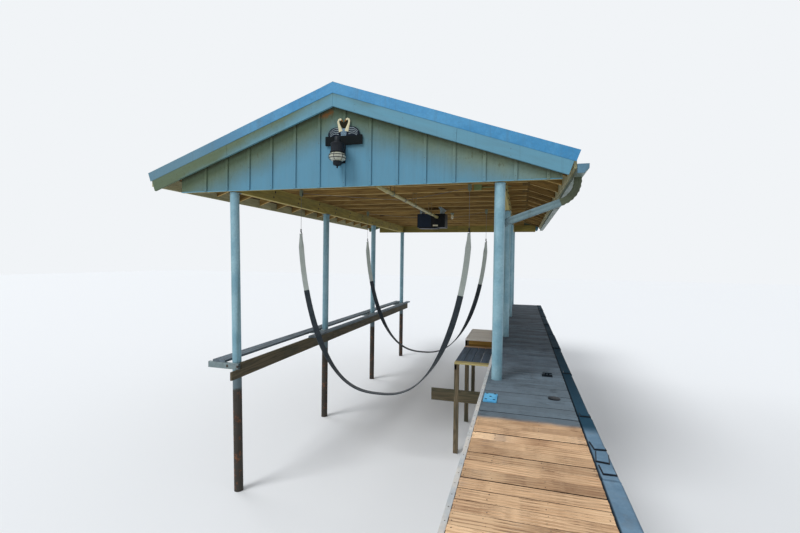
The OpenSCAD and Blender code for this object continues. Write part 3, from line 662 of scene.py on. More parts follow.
def prism(outline, start, end, axis="y", material=0, grain=None, tone=None):
    # an outline carried along an axis: it lies in X and Z for "y", Y and Z for "x", X and Y for "z"
    bm, tone = openMesh(), rng.random() if tone is None else tone
    near, far = ([bm.verts.new({"y": (a, t, b), "x": (t, a, b), "z": (a, b, t)}[axis]) for a, b in outline]
                 for t in (start, end))
    faces = [bm.faces.new(near), bm.faces.new(far[::-1])]
    for i in range(len(outline)):
        j = (i + 1) % len(outline)
        faces.append(bm.faces.new((near[j], near[i], far[i], far[j])))
    bmesh.ops.recalc_face_normals(bm, faces=faces)
    if grain is None:
        # the grain runs the long way
        spans = [max(v.co[k] for v in near + far) - min(v.co[k] for v in near + far) for k in range(3)]
        grain = [float(span == max(spans)) for span in spans]
    dress(faces, grain, tone, material)


def block(lowCorner, highCorner, material=0, tone=None):
    (x0, y0, z0), (x1, y1, z1) = lowCorner, highCorner
    prism([(x0, y0), (x1, y0), (x1, y1), (x0, y1)], z0, z1, "z", material, tone=tone)


def planks(x0, x1, cuts, z0, z1, gap=0.001):
    # a line of planks along Y, with a butt joint at each cut
    for a, b in pairwise(cuts):
        block((min(x0, x1), a + (gap if a > cuts[0] else 0), z0),
              (max(x0, x1), b - (gap if b < cuts[-1] else 0), z1))


def skin(rings, material=0, tone=None, closed=False):
    # rings of points joined into one shell, with a cap at each end unless the row closes on itself
    bm, tone = openMesh(), rng.random() if tone is None else tone
    uv = bm.loops.layers.uv["grain"]
    toneLayer = bm.verts.layers.float["tone"]
    rows = [[bm.verts.new(p) for p in ring] for ring in rings]
    count = len(rows[0])
    centres = [sum((Vector(p) for p in ring), Vector()) / count for ring in rings]
    run, girth = [0.0], [0.0]
    for a, b in zip(centres, centres[1:] + centres[:1]):
        run.append(run[-1] + (b - a).length)
    middle = rows[len(rows) // 2]
    for i in range(count):
        girth.append(girth[-1] + (middle[(i + 1) % count].co - middle[i].co).length)
    faces = []
    for r in range(len(rows) if closed else len(rows) - 1):
        s = (r + 1) % len(rows)
        for i in range(count):
            j = (i + 1) % count
            face = bm.faces.new((rows[r][i], rows[r][j], rows[s][j], rows[s][i]))
            for loop, (along, around) in zip(face.loops, ((r, i), (r, i + 1), (r + 1, i + 1), (r + 1, i))):
                loop[uv].uv = (run[along], girth[around])
            faces.append(face)
    if not closed:
        for row in (rows[0][::-1], rows[-1]):
            faces.append(bm.faces.new(row))
            for loop in faces[-1].loops:
                loop[uv].uv = (loop.vert.co.x + loop.vert.co.y, loop.vert.co.z + loop.vert.co.y)
    for face in faces:
        face.material_index = material
    for row in rows:
        for vert in row:
            vert[toneLayer] = tone
    bmesh.ops.recalc_face_normals(bm, faces=faces)


def waysAhead(points):
    # the way that a path runs at each of its points
    last = len(points) - 1
    return [(points[min(i + 1, last)] - points[max(i - 1, 0)]).normalized() for i in range(last + 1)]


def tube(path, radius, sides=10, material=0, closed=False):
    # a round bar along a path; one radius, or one for each point
    points = [Vector(p) for p in path]
    radii = radius if isinstance(radius, list) else [radius] * len(points)
    rings, side = [], None
    for point, ahead, r in zip(points, waysAhead(points), radii):
        side = ahead.orthogonal() if side is None else side - ahead * side.dot(ahead)
        side.normalize()
        other = ahead.cross(side)
        rings.append([point + side * a + other * b for a, b in circle(0, 0, r, sides)])
    skin(rings, material, closed=closed)


def lathe(profile, centre, sides=32, material=0, axis="z", tone=None):
    # a profile of (radius, height) turned about an upright axis, or about one along Y
    cx, cy, cz = centre
    if axis == "z":
        rings = [[(x, y, cz + h) for x, y in circle(cx, cy, r, sides)] for r, h in profile]
    else:
        rings = [[(x, cy + h, z) for x, z in circle(cx, cz, r, sides)] for r, h in profile]
    skin(rings, material, tone, profile[0] == profile[-1])


def closeMesh(name, edge=0.0, steps=1):
    bm = building.pop()
    if edge:
        sharp = [e for e in bm.edges if e.is_manifold and e.calc_face_angle(0) > 0.6]
        bmesh.ops.bevel(bm, geom=sharp, offset=edge, offset_type="OFFSET", segments=steps, profile=0.7,
                        affect="EDGES", clamp_overlap=True, material=-1)
    mesh = bpy.data.meshes.new(name)
    bm.to_mesh(mesh)
    bm.free()
    return mesh


def addPiece(name, finishes, nodes="", edge=0.0, steps=1, smooth=0, mesh=None):
    # hands the mesh being built, or one that is made, to the frame; finishes and nodes are words
    mesh = mesh or closeMesh(name, edge, steps)
    piece = newObject(name, mesh)
    if not mesh.materials:
        for finish in finishes.split():
            mesh.materials.append(materials[finish])
    if smooth:
        mesh.shade_smooth()
        mesh.set_sharp_from_angle(angle=radians(smooth))
    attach(piece, "root")
    if nodes:
        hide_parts(*nodes.split())


def plainMesh(name, made, helper):
    # what an object's modifier makes of it and its helper, which are both gone afterwards
    depsgraph = bpy.context.evaluated_depsgraph_get()
    mesh = bpy.data.meshes.new_from_object(made.evaluated_get(depsgraph), depsgraph=depsgraph)
    mesh.name = name
    for spent in (made, helper):
        bpy.data.objects.remove(spent)
    return mesh


# Geometry Nodes: one tree repeats a shape along a line, one sets fixings on points

def dressedWhole(shape, given, out):
    whole = addNode("GeometryNodeRealizeInstances", {"Geometry": shape})
    dressed = addNode("GeometryNodeSetMaterial", {"Geometry": whole[0], "Material": given["Finish"]})
    return closeGroup(out, dressed[:])


def buildRowTree():
    given, out = newGroup("GeometryNodeTree", "shapeRow", {
        "Geometry": "Geometry", "Shape": "Object", "Count": 10, "Start": "Vector", "Step": "Vector",
        "Shift": "Vector", "Turn": "Vector", "Seed": 1, "Finish": "Material"}, {"Geometry": "Geometry"})
    line = addNode("GeometryNodeMeshLine", {"Count": given["Count"], "Start Location": given["Start"],
                                            "Offset": given["Step"]}, mode="OFFSET")
    shape = addNode("GeometryNodeObjectInfo", {"Object": given["Shape"], "As Instance": True})

    def seeded(number):
        return addNode("FunctionNodeIntegerMath", {0: given["Seed"], 1: number}, operation="ADD")[0]

    def scattered(size, number):
        back = vectors("SCALE", size, -1.0)
        return addNode("FunctionNodeRandomValue", {"Min": back, "Max": size, "Seed": seeded(number)},
                       data_type="FLOAT_VECTOR")[0]

    turn = addNode("FunctionNodeEulerToRotation", {0: scattered(given["Turn"], 1)})
    placed = addNode("GeometryNodeInstanceOnPoints",
                     {"Points": line[0], "Instance": shape["Geometry"], "Rotation": turn[0]})
    moved = addNode("GeometryNodeTranslateInstances",
                    {"Instances": placed[0], "Translation": scattered(given["Shift"], 2)})
    tone = addNode("FunctionNodeRandomValue", {"Seed": seeded(3)}, data_type="FLOAT")
    stored = addNode("GeometryNodeStoreNamedAttribute",
                     {"Geometry": moved[0], "Name": "tone", "Value": tone[1]}, data_type="FLOAT",
                     domain="INSTANCE")
    return dressedWhole(stored[0], given, out)


def buildFixingTree():
    given, out = newGroup("GeometryNodeTree", "fixingsOnPoints", {
        "Geometry": "Geometry", "Head": "Object", "Scatter": 0.0, "Seed": 1, "Finish": "Material"},
                          {"Geometry": "Geometry"})
    head = addNode("GeometryNodeObjectInfo", {"Object": given["Head"], "As Instance": True})
    facing = addNode("GeometryNodeInputNamedAttribute", {"Name": "facing"}, data_type="FLOAT_VECTOR")
    turned = addNode("FunctionNodeAlignRotationToVector", {"Vector": facing[0]}, axis="Z")
    size = addNode("FunctionNodeRandomValue", {"Min": minus(1.0, given["Scatter"]), "Max": 1.0,
                                               "Seed": given["Seed"]}, data_type="FLOAT")
    placed = addNode("GeometryNodeInstanceOnPoints",
                     {"Points": given["Geometry"], "Instance": head["Geometry"], "Rotation": turned[0],
                      "Scale": size[1]})
    return dressedWhole(placed[0], given, out)


rowTree = buildRowTree()
fixingTree = buildFixingTree()


def runTree(tree, carrierMesh, shape, values, name):
    # puts the tree on a carrier, sets its inputs by identifier, and keeps only the plain mesh
    carrier, model = newObject("carrier", carrierMesh), newObject("model", shape)
    modifier = carrier.modifiers.new("nodes", "NODES")
    modifier.node_group = tree
    keys = {item.name: item.identifier for item in tree.interface.items_tree if item.in_out == "INPUT"}
    for label, value in values.items():
        modifier[keys[label]] = model if value == "model" else value
    return plainMesh(name, carrier, model)


def repeated(name, shape, finish, count, start, step, shift=(0, 0, 0), turn=(0, 0, 0), seed=1):
    # a row of copies of a mesh, each with a tone of its own
    shape.attributes.remove(shape.attributes["tone"])
    return runTree(rowTree, bpy.data.meshes.new("empty"), shape,
                   {"Shape": "model", "Count": count, "Start": start, "Step": step, "Shift": shift,
                    "Turn": turn, "Seed": seed, "Finish": materials[finish]}, name)


def fixings(name, head, spots, finish, scatter=0.0, seed=1):
    # spots are pairs of a place and the way that the head faces
    carrier = bpy.data.meshes.new("spots")
    carrier.from_pydata([place for place, facing in spots], [], [])
    ways = carrier.attributes.new("facing", "FLOAT_VECTOR", "POINT")
    ways.data.foreach_set("vector", [c for place, facing in spots for c in facing])
    mesh = runTree(fixingTree, carrier, head, {"Head": "model", "Scatter": scatter, "Seed": seed,
                                               "Finish": materials[finish]}, name)
    addPiece(name, finish, smooth=30, mesh=mesh)


def headMesh(name, profile, sides):
    lathe(profile, (0, 0, 0), sides, tone=0.5)
    return closeMesh(name)


# Heads as profiles of (radius, height)
headLooks = {"bolt": [(0.021, -0.001), (0.021, 0.003), (0.0135, 0.0032), (0.0135, 0.009), (0.0105, 0.011)],
             "nail": [(0.0052, -0.001), (0.0052, 0.0006), (0.003, 0.0016)],
             "screw": [(0.0095, -0.001), (0.0095, 0.0012), (0.0045, 0.002), (0.0045, 0.006),
                       (0.003, 0.0068)]}
boltMesh, nailMesh, screwMesh = (headMesh(name, headLooks[name], sides)
                                 for name, sides in (("bolt", 6), ("nail", 8), ("screw", 6)))
print("helpers and trees ready")


# Posts, their cap plates, the beams and the headers

pipeLook = {"sides": 48, "weld": 0.0035, "rings": 10}


def makePosts():
    weld = postRadius + pipeLook["weld"]
    for node in [name for name in boxes if "_post_" in name]:
        lo, hi = boxes[node]
        # one post of the left row leans: its head is on the row's line and its foot is off it
        headX = lo.x + postRadius if node.startswith("left") else (lo.x + hi.x) / 2
        footX = hi.x - postRadius if node.startswith("left") else headX
        rings, straight = pipeLook["rings"], hi.z - 0.012 - lo.z
        stations = [(lo.z + straight * i / rings, postRadius) for i in range(rings + 1)]
        stations += [(hi.z - 0.009, weld), (hi.z - 0.003, weld), (hi.z, postRadius + 0.001)]
        skin([[(x, y, z) for x, y in circle(footX + (headX - footX) * z / hi.z, (lo.y + hi.y) / 2, r,
                                            pipeLook["sides"])] for z, r in stations])
        row, number = node.split("_post_")
        addPiece(row + "PostPipe" + number, "postPipe", node, smooth=40)


capPlateLook = {"length": 0.22, "width": 0.13, "boltIn": 0.022, "edge": 0.0018}


def makeCapPlates():
    bolts = []
    half, boltIn = capPlateLook["width"] / 2, capPlateLook["boltIn"]
    for x in (leftX, 0.0):
        for n in range(4):
            y0 = max(n * bay - capPlateLook["length"] / 2, low("post_beams").y)
            y1 = min(n * bay + capPlateLook["length"] / 2, high("post_beams").y)
            block((x - half, y0, postTop), (x + half, y1, beamFoot))
            bolts += [((x + s * (half - boltIn), y, postTop), (0, 0, -1)) for s in (-1, 1)
                      for y in (y0 + boltIn, y1 - boltIn)
                      if hypot(half - boltIn, y - n * bay) > postRadius + boltIn]
    addPiece("capPlates", "plainSteel", "post_caps", capPlateLook["edge"])
    fixings("capPlateBolts", boltMesh, bolts, "fixingSteel")


beamLook = {"half": 0.045, "edge": 0.004, "boltGap": 0.9, "boltIn": 0.07, "boltShift": 0.05,
            "joint": 0.0015, "headerJoint": (0.349, 0.351)}


def makeBeams():
    # each beam is two planks side by side, with butt joints over different posts
    bolts = []
    start, end, half = low("post_beams").y, high("post_beams").y, beamLook["half"]
    for x in (leftX, 0.0):
        for s, joint in ((-1, bay), (1, 2 * bay)):
            planks(x + s * 0.0006, x + s * half, [start, joint, end], beamFoot, beamTop, beamLook["joint"])
            for y in spaced(start + 0.2, end, beamLook["boltGap"]):
                bolts += [((x + s * half, y, beamFoot + beamLook["boltIn"]), (s, 0, 0)),
                          ((x + s * half, y + beamLook["boltShift"], beamTop - beamLook["boltIn"]),
                           (s, 0, 0))]
    addPiece("postBeamPlanks", "frameTimber", "post_beams", beamLook["edge"])
    fixings("beamBolts", boltMesh, bolts, "rustyNail")
    lo, hi = boxes["headers"]
    for y in (lo.y, hi.y - timber):
        before, after = (ridgeX + past for past in beamLook["headerJoint"])
        for a, b in ((lo.x, before), (after, hi.x)):
            block((a, y, beamFoot), (b, y + timber, beamTop))
    addPiece("headerPlanks", "frameTimber", "headers", 0.003)


# Roof trusses: joist, rafters and webs of one truss, each repeated along the roof.
# A plate is (out from the ridge, up from the joists' foot, wide, tall), once on each side

trussLook = {"joist": 0.14, "rafter": 0.14, "web": 0.089, "webReach": 1.3, "edge": 0.003, "plateT": 0.0012,
             "plates": ((2.75, 0.1, 0.13, 0.07),)}


def makeTrusses():
    x, out = ridgeX, high("ceiling_joists").x - ridgeX
    joistTop = beamTop + trussLook["joist"]
    rafterRise = trussLook["rafter"] * plumb
    foot = boardsTop - boardsRise - rafterRise
    heel = (foot - joistTop) / pitch
    clip = foot - pitch * out

    def timbers(name, node, seed):
        mesh = repeated(name, closeMesh("one", trussLook["edge"]), "joistTimber", trussCount,
                        (0, trussStart, 0), (0, trussGap, 0), seed=seed)
        addPiece(name, "", node, mesh=mesh)

    prism([(x - out, beamTop), (x + out, beamTop), (x + out, clip), (x + heel, joistTop),
           (x - heel, joistTop), (x - out, clip)], 0, timber)
    timbers("joistTimbers", "ceiling_joists", 3)
    reach = roofHalf - timber
    for side, row in ((-1, "left"), (1, "right")):
        under = boardsRise + rafterRise
        prism(roofOutline(side, ((0, boardsRise), (reach, boardsRise), (reach, under), (0, under))),
              0, timber, grain=(side, 0, -pitch))
        timbers(row + "RafterTimbers", row + "_rafters", 5 + side)
    web, webReach = trussLook["web"], trussLook["webReach"]
    half = web / 2
    prism([(x - half, joistTop), (x + half, joistTop), (x + half, foot - pitch * half), (x, foot),
           (x - half, foot - pitch * half)], 0, timber)
    webSlope = atan((foot - pitch * webReach - joistTop) / (webReach - web))
    for s in (-1, 1):
        prism([(x + s * web, joistTop), (x + s * (web + web / sin(webSlope)), joistTop),
               (x + s * (webReach + web), foot - pitch * (webReach + web)),
               (x + s * webReach, foot - pitch * webReach)], 0, timber,
              grain=(s * cos(webSlope), 0, sin(webSlope)))
    timbers("webTimbers", "truss_webs", 9)
    # pressed steel plates over the joints of a truss, both faces
    for off, up, wide, tall in trussLook["plates"]:
        for s in (-1, 1):
            left, base = x + s * off - wide / 2, beamTop + up - tall / 2
            for y in (-trussLook["plateT"], timber):
                block((left, y, base), (left + wide, y + trussLook["plateT"], base + tall))
    mesh = repeated("trussPlates", closeMesh("plates"), "plateSteel", trussCount - 2, (0, trussY(1), 0),
                    (0, trussGap, 0), seed=4)
    addPiece("trussPlates", "", mesh=mesh)


# Roof boards: planks across the rafters, with butt joints over different trusses

boardsLook = {"width": 0.141, "gap": 0.002, "length": 4, "joint": 0.001, "edge": 0.0015}


def makeRoofBoards():
    courses = round(roofHalf * plumb / boardsLook["width"])
    width = roofHalf * plumb / courses
    joint = boardsLook["joint"]
    for side, row in ((-1, "left"), (1, "right")):
        top, down, above = roofWays(side)
        deep = -above * boardsRise / plumb
        for course in range(courses):
            a = course * width + (boardsLook["gap"] if course else 0)
            b = (course + 1) * width - (boardsLook["gap"] if course < courses - 1 else 0)
            corners = [(p.x, p.z) for p in (top + down * a, top + down * b, top + down * b + deep,
                                            top + down * a + deep)]
            if course == 0:
                corners[3] = underRoof(side, 0, boardsRise)
            if course == courses - 1:
                corners[2] = underRoof(side, roofHalf, boardsRise)
            trusses = range(1 + (course * 3) % 4, trussCount - 1, boardsLook["length"] + course % 2)
            cuts = [frontY, *(trussY(n) + timber / 2 for n in trusses), rearY]
            for y0, y1 in pairwise(cuts):
                prism(corners, y0 + (joint if y0 > frontY else 0), y1 - (joint if y1 < rearY else 0),
                      grain=(0, 1, 0))
        addPiece(row + "RoofPlanks", "sheathing", row + "_roof_boards", boardsLook["edge"])


# Roof sheets: ribbed steel panels that lap over each other, with screws

sheetLook = {"panels": 11, "ribs": 4, "ribHeight": 0.019, "ribFoot": 0.046, "ribTop": 0.017,
             "thick": 0.0011, "swage": 0.0035, "screwRuns": (0.25, 0.9, 1.55, 2.2, 2.85, 3.44)}


def sheetProfile(width):
    # (along the roof, above the boards) of one panel, from its first rib to the lap over the next
    gap = width / sheetLook["ribs"]
    foot, top, tall = sheetLook["ribFoot"] / 2, sheetLook["ribTop"] / 2, sheetLook["ribHeight"]
    points = []
    for n in range(sheetLook["ribs"] + 1):
        middle = n * gap
        if n:
            for share in (1 / 3, 2 / 3):
                swage = middle - gap + gap * share
                points += [(swage - 0.012, 0), (swage - 0.006, sheetLook["swage"]),
                           (swage + 0.006, sheetLook["swage"]), (swage + 0.012, 0)]
        points += [(middle - foot * (1 if n else 1.05), 0), (middle - top, tall), (middle + top, tall)]
        points.append((middle + foot, 0) if n < sheetLook["ribs"] else (middle + foot * 0.9, 0.0012))
    return points


def makeRoofSheets():
    ribHalf = sheetLook["ribFoot"] / 2 * 1.06
    width = (rearY - frontY - 2 * ribHalf) / sheetLook["panels"]
    profile = sheetProfile(width)
    thick = sheetLook["thick"]
    # the ribs' tops lean out past the foot of the slope, so the panels end a little short of it
    length = (sheetReach - sheetLook["ribHeight"] * pitch - 0.002) * plumb
    ribGap = width / sheetLook["ribs"]
    screws = []
    for side, row in ((-1, "left"), (1, "right")):
        top, down, above = roofWays(side)
        top = top + above * 0.0006
        rings = []
        for run in (0.03, length * 0.5, length):
            ring = [(y, h + thick) for y, h in profile] + [(y, h) for y, h in reversed(profile)]
            rings.append([top + down * run + above * h + Vector((0, y, 0)) for y, h in ring])
        skin(rings, tone=0.5)
        mesh = repeated(row + "RoofPanels", closeMesh("panel"), "roofSheet", sheetLook["panels"],
                        (0, frontY + ribHalf, 0), (0, width, 0), seed=20 + side)
        addPiece(row + "RoofPanels", "", row + "_roof_sheet", mesh=mesh)
        for rib in range(sheetLook["panels"] * sheetLook["ribs"]):
            across = Vector((0, frontY + ribHalf + (rib + 0.5) * ribGap + 0.04, 0))
            screws += [(top + down * run + above * (thick + 0.0004) + across, above)
                       for run in sheetLook["screwRuns"]]
    fixings("roofScrews", screwMesh, screws, "fixingSteel", seed=4)


ridgeLook = {"lengths": 4, "lap": 0.07, "thick": 0.0014, "hem": 0.009, "hemT": 0.0015, "crown": 0.004}


def makeRidgeCap():
    lo, hi = boxes["ridge_cap"]
    reach = (hi.x - lo.x) / 2
    length = (hi.y - lo.y) / ridgeLook["lengths"]
    thick, hem, hemT = ridgeLook["thick"], ridgeLook["hem"], ridgeLook["hemT"]
    for n in range(ridgeLook["lengths"]):
        lift = thick * 1.2 * (n % 2)
        profile = []
        for share in (-1.0, -0.62, -0.3, -0.1, -0.03, 0.03, 0.1, 0.3, 0.62, 1.0):
            crown = ridgeLook["crown"] * (max(0.0, 1 - abs(share) / 0.1) - 1)
            profile.append((ridgeX + share * reach,
                            hi.z + crown - pitch * abs(share) * reach - thick - lift))
        (leftEnd, leftZ), (rightEnd, rightZ) = profile[0], profile[-1]
        outline = [(x, z + thick) for x, z in profile] + [(rightEnd, rightZ - hem),
                                                          (rightEnd - hemT, rightZ - hem)]
        outline += list(reversed(profile[1:-1])) + [(leftEnd + hemT, leftZ - hem), (leftEnd, leftZ - hem)]
        start = lo.y + n * length - (ridgeLook["lap"] if n else 0)
        prism(outline, start, lo.y + (n + 1) * length)
    addPiece("ridgeCapFold", "roofSheet", "ridge_cap")
    # closure strips that fill the ribs under the cap
    for side in (-1, 1):
        inner, outer = reach - 0.05, reach - 0.022
        prism(roofOutline(side, ((inner, -0.002), (outer, -0.002), (outer, -0.0245), (inner, -0.0245))),
              lo.y + 0.01, hi.y - 0.01)
    addPiece("ridgeClosures", "capVinyl", "", 0.001)


rakeLook = {"face": 0.15, "flange": 0.12, "thick": 0.0016, "lapAt": 0.52, "lap": 0.06, "screwGap": 0.41,
            "screwIn": 0.085}


def makeRakeTrims():
    # folded steel on the sloping edges: a face, a flange over the ribs, a hem, lapped joints
    reach, thick, flange = sheetReach, rakeLook["thick"], rakeLook["flange"]
    top = boardsTop - high("rake_trims").z
    foot = top + rakeLook["face"] * plumb
    back = rakeLook["face"] * sin(slope)
    screws = []
    for face, inward in ((low("rake_trims").y, 1), (high("rake_trims").y, -1)):
        for side in (-1, 1):
            lapAt = reach * rakeLook["lapAt"]
            for a, b, off in ((0.0, lapAt, thick * 1.1), (lapAt - rakeLook["lap"], reach, 0.0)):
                rings = []
                for run in (a, b):
                    low_ = run - (back if run == reach else 0)
                    y0 = thick - off + 0.0006
                    ring = [(run, top + 0.0012 - off * 0.5, y0),
                            (run, top + 0.0012 - off * 0.5, y0 + flange),
                            (run, top + 0.0012 + thick - off * 0.5, y0 + flange),
                            (run, top + 0.004, y0 + thick), (low_, foot - 0.002, y0 + thick),
                            (low_, foot, y0 + thick + 0.004), (low_, foot + 0.0016, y0 + 0.002),
                            (low_, foot - 0.004, y0 - 0.0008)]
                    places = [(underRoof(side, r, drop), face + inward * deep) for r, drop, deep in ring]
                    rings.append([(x, y, z) for (x, z), y in places])
                skin(rings)
            for run in spaced(0.18, reach - 0.1, rakeLook["screwGap"]):
                x, z = underRoof(side, run, top + 0.001)
                screws.append(((x, face + inward * rakeLook["screwIn"], z), roofWays(side)[2]))
    addPiece("rakeMetalTrims", "rakeMetal", "rake_trims")
    fixings("rakeTrimScrews", screwMesh, screws, "fixingSteel", seed=8)


rakeBoardLook = {"depth": 0.286, "edge": 0.004, "joint": 0.55, "scarf": 0.02, "nailPlaces": (0.62, 0.9)}


def makeRakeBoards():
    depth = rakeBoardLook["depth"] * plumb
    back = depth * sin(slope) * cos(slope)
    joint, scarf = roofHalf * rakeBoardLook["joint"], rakeBoardLook["scarf"]
    nails = []
    for y0, facing in ((low("rake_boards").y, -1), (high("rake_boards").y - timber, 1)):
        for side in (-1, 1):
            for topA, footA, topB, footB in ((0.0005, 0.0005, joint, joint - scarf),
                                             (joint + 0.002, joint - scarf + 0.002, roofHalf,
                                              roofHalf - back)):
                prism(roofOutline(side, ((topA, boardsRise), (topB, boardsRise),
                                         (footB, boardsRise + depth), (footA, boardsRise + depth))),
                      y0, y0 + timber, grain=(side, 0, -pitch))
            for run in spaced(0.35, roofHalf - 0.2, trussGap):
                for share in rakeBoardLook["nailPlaces"]:
                    x, z = underRoof(side, run + stray(0.01), boardsRise + depth * share)
                    nails.append(((x, y0 if facing < 0 else y0 + timber, z), (0, facing, 0)))
    addPiece("rakeBoardPlanks", "rakePaint", "rake_boards", rakeBoardLook["edge"], 2)
    fixings("rakeBoardNails", nailMesh, nails, "rustyNail", 0.3)


def makeFascias():
    lo, hi = boxes["fascias"]
    third = (hi.y - lo.y) / 3
    for outer, side in ((lo.x, -1), (hi.x, 1)):
        planks(outer, outer - side * timber, [lo.y, lo.y + third, hi.y - third, hi.y], lo.z, hi.z)
    addPiece("fasciaPlanks", "eaveTimber", "fascias", 0.004, 2)


# Gables: sheets of siding, battens over their joints, nails, and a thin drip strip at the foot

sidingLook = {"battenWidth": 0.045, "battens": 14, "battenGap": 0.4064, "inset": 0.485, "sheet": 3,
              "dripHeight": 0.014, "dripOut": 0.006, "edge": 0.0025, "nailGap": 0.3}


def makeGables():
    left, foot, right = low("front_siding").x, low("front_siding").z, high("front_siding").x
    thick = low("front_siding").y - low("battens").y

    def gableBoard(a, b, y0, y1, footA=foot, footB=foot):
        # a board that ends under the roof boards, pointed where it meets the ridge
        ends = [underRoof(1 if x > ridgeX else -1, abs(x - ridgeX), boardsRise) for x in (b, a)]
        if a < ridgeX < b:
            ends.insert(1, underRoof(1, 0, boardsRise))
        prism([(a, footA), (b, footB), *ends], y0, y1, grain=(0, 0, 1))

    for word in ("front", "rear"):
        lo, hi = boxes[word + "_siding"]
        step = sidingLook["battenGap"] * sidingLook["sheet"]
        cuts = [left, *spaced(left + sidingLook["inset"], right - 0.3, step), right]
        for a, b in pairwise(cuts):
            gableBoard(a + 0.001, b - 0.001, lo.y, hi.y)
        addPiece(word + "SidingSheets", "siding", word + "_siding", 0.0008)
    nails = []
    half = sidingLook["battenWidth"] / 2
    for y0, face, facing in ((low("battens").y, low("battens").y, -1),
                             (high("battens").y - thick, high("battens").y, 1)):
        for n in range(sidingLook["battens"]):
            x = left + sidingLook["inset"] + n * sidingLook["battenGap"]
            gableBoard(x - half, x + half, y0, y0 + thick, foot + rng.uniform(0.0, 0.008),
                       foot + rng.uniform(0.0, 0.008))
            top = underRoof(1, abs(x - ridgeX), boardsRise)[1]
            nails += [((x + stray(0.004), face, z), (0, facing, 0))
                      for z in spaced(foot + 0.06, top - 0.1, sidingLook["nailGap"])]
    addPiece("gableBattens", "siding", "battens", sidingLook["edge"])
    fixings("battenNails", nailMesh, nails, "rustyNail", 0.3, 2)
    for face, facing in ((low("front_siding").y, -1), (high("rear_siding").y, 1)):
        tip = face + facing * sidingLook["dripOut"]
        for a, b in ((left, left + 1.999), (left + 2.001, left + 4.099), (left + 4.101, right)):
            block((a, min(face, tip), foot), (b, max(face, tip), foot + sidingLook["dripHeight"]))
    addPiece("sidingDrips", "rakePaint", "", 0.0015)


# Gutter: folded trough with a curved front, end plates, hangers and sleeves over its joints

gutterLook = {"thick": 0.0016, "lip": 0.052, "foot": 0.09, "hangerGap": 0.61, "hanger": 0.025,
              "joints": (0.35, 0.7), "sleeve": 0.04, "endPlate": 0.002}


def gutterSection(x, top, tall, wide):
    foot, lipZ = gutterLook["foot"], top - gutterLook["lip"]
    points = [(x, top), (x, top - tall), (x + foot, top - tall)]
    for i in range(1, 9):
        curve = 0.5 - 0.5 * cos(pi * i / 8)
        points.append((x + foot + (wide - foot) * curve, top - tall + (lipZ - top + tall) * i / 8))
    return points + [(x + wide, top - 0.012), (x + wide, top), (x + wide - 0.012, top - 0.0015)]


def offsetLine(points, by):
    # the same line moved sideways by a small distance, mitred at its corners
    moved = []
    for i, point in enumerate(points):
        here = Vector(point)
        ways = [(here - Vector(points[i - 1])).normalized()] if i else []
        ways += [(Vector(points[i + 1]) - here).normalized()] if i < len(points) - 1 else []
        n = sum((Vector((-way.y, way.x)) for way in (ways * 2)[:2]), Vector((0, 0)))
        moved.append(tuple(here + n * (2 / max(n.length_squared, 0.8)) * by))
    return moved


def makeGutter():
    lo, hi = boxes["gutter"]
    line = gutterSection(lo.x, hi.z, hi.z - lo.z, hi.x - lo.x)
    inner = offsetLine(line, gutterLook["thick"])
    joints = [lo.y + (hi.y - lo.y) * share for share in gutterLook["joints"]]
    cuts = [lo.y, *joints, hi.y]
    for a, b in pairwise(cuts):
        prism(line + inner[::-1], a, b)
    for a, b in ((lo.y, lo.y + gutterLook["endPlate"]), (hi.y - gutterLook["endPlate"], hi.y)):
        prism(line[:-1], a, b, "y", 1, (1, 0, 0))
    for y in spaced(lo.y + 0.3, hi.y - 0.1, gutterLook["hangerGap"]):
        block((lo.x + 0.002, y, hi.z - 0.012), (hi.x - 0.004, y + gutterLook["hanger"], hi.z - 0.0095),
              material=1)
    sleeve = [(min(max(x, lo.x), hi.x), min(max(z, lo.z), hi.z)) for x, z in offsetLine(line, -0.0014)]
    for cut in joints:
        prism(sleeve + line[::-1], cut - gutterLook["sleeve"], cut + gutterLook["sleeve"])
    addPiece("gutterTrough", "gutterMetal gutterPlate", "gutter", smooth=30)


# Downspout: fluted pipe, accordion elbows and straps

spoutLook = {"wide": 0.102, "thick": 0.076, "corner": 0.012, "flute": 0.003, "pleats": 7,
             "bends": (0.225, 0.13), "drop": 0.245, "fall": 0.36, "straps": (3.95, 3.2, 2.55),
             "strap": 0.03}


def roundedBox(x0, x1, y0, y1, corner):
    points = []
    for cx, cy, turn in ((x1 - corner, y1 - corner, 0), (x0 + corner, y1 - corner, 90),
                         (x0 + corner, y0 + corner, 180), (x1 - corner, y0 + corner, 270)):
        for a in (radians(turn + step) for step in (0, 45, 90)):
            points.append((cx + corner * cos(a), cy + corner * sin(a)))
    return points


def spoutSection():
    # (across, front to back) of the pipe, with a shallow flute in the middle of each side
    wide, thick = spoutLook["wide"] / 2 - 0.0022, spoutLook["thick"] / 2 - 0.0022
    section = roundedBox(-wide, wide, -thick, thick, spoutLook["corner"])
    made = []
    for i, point in enumerate(section):
        made.append(point)
        if i % 3 == 2:
            here, following = Vector(point), Vector(section[(i + 1) % len(section)])
            for share, depth in ((0.3, 0), (0.4, 1), (0.6, 1), (0.7, 0)):
                spot = here.lerp(following, share)
                made.append(tuple(spot - spot.normalized() * spoutLook["flute"] * depth))
    return made


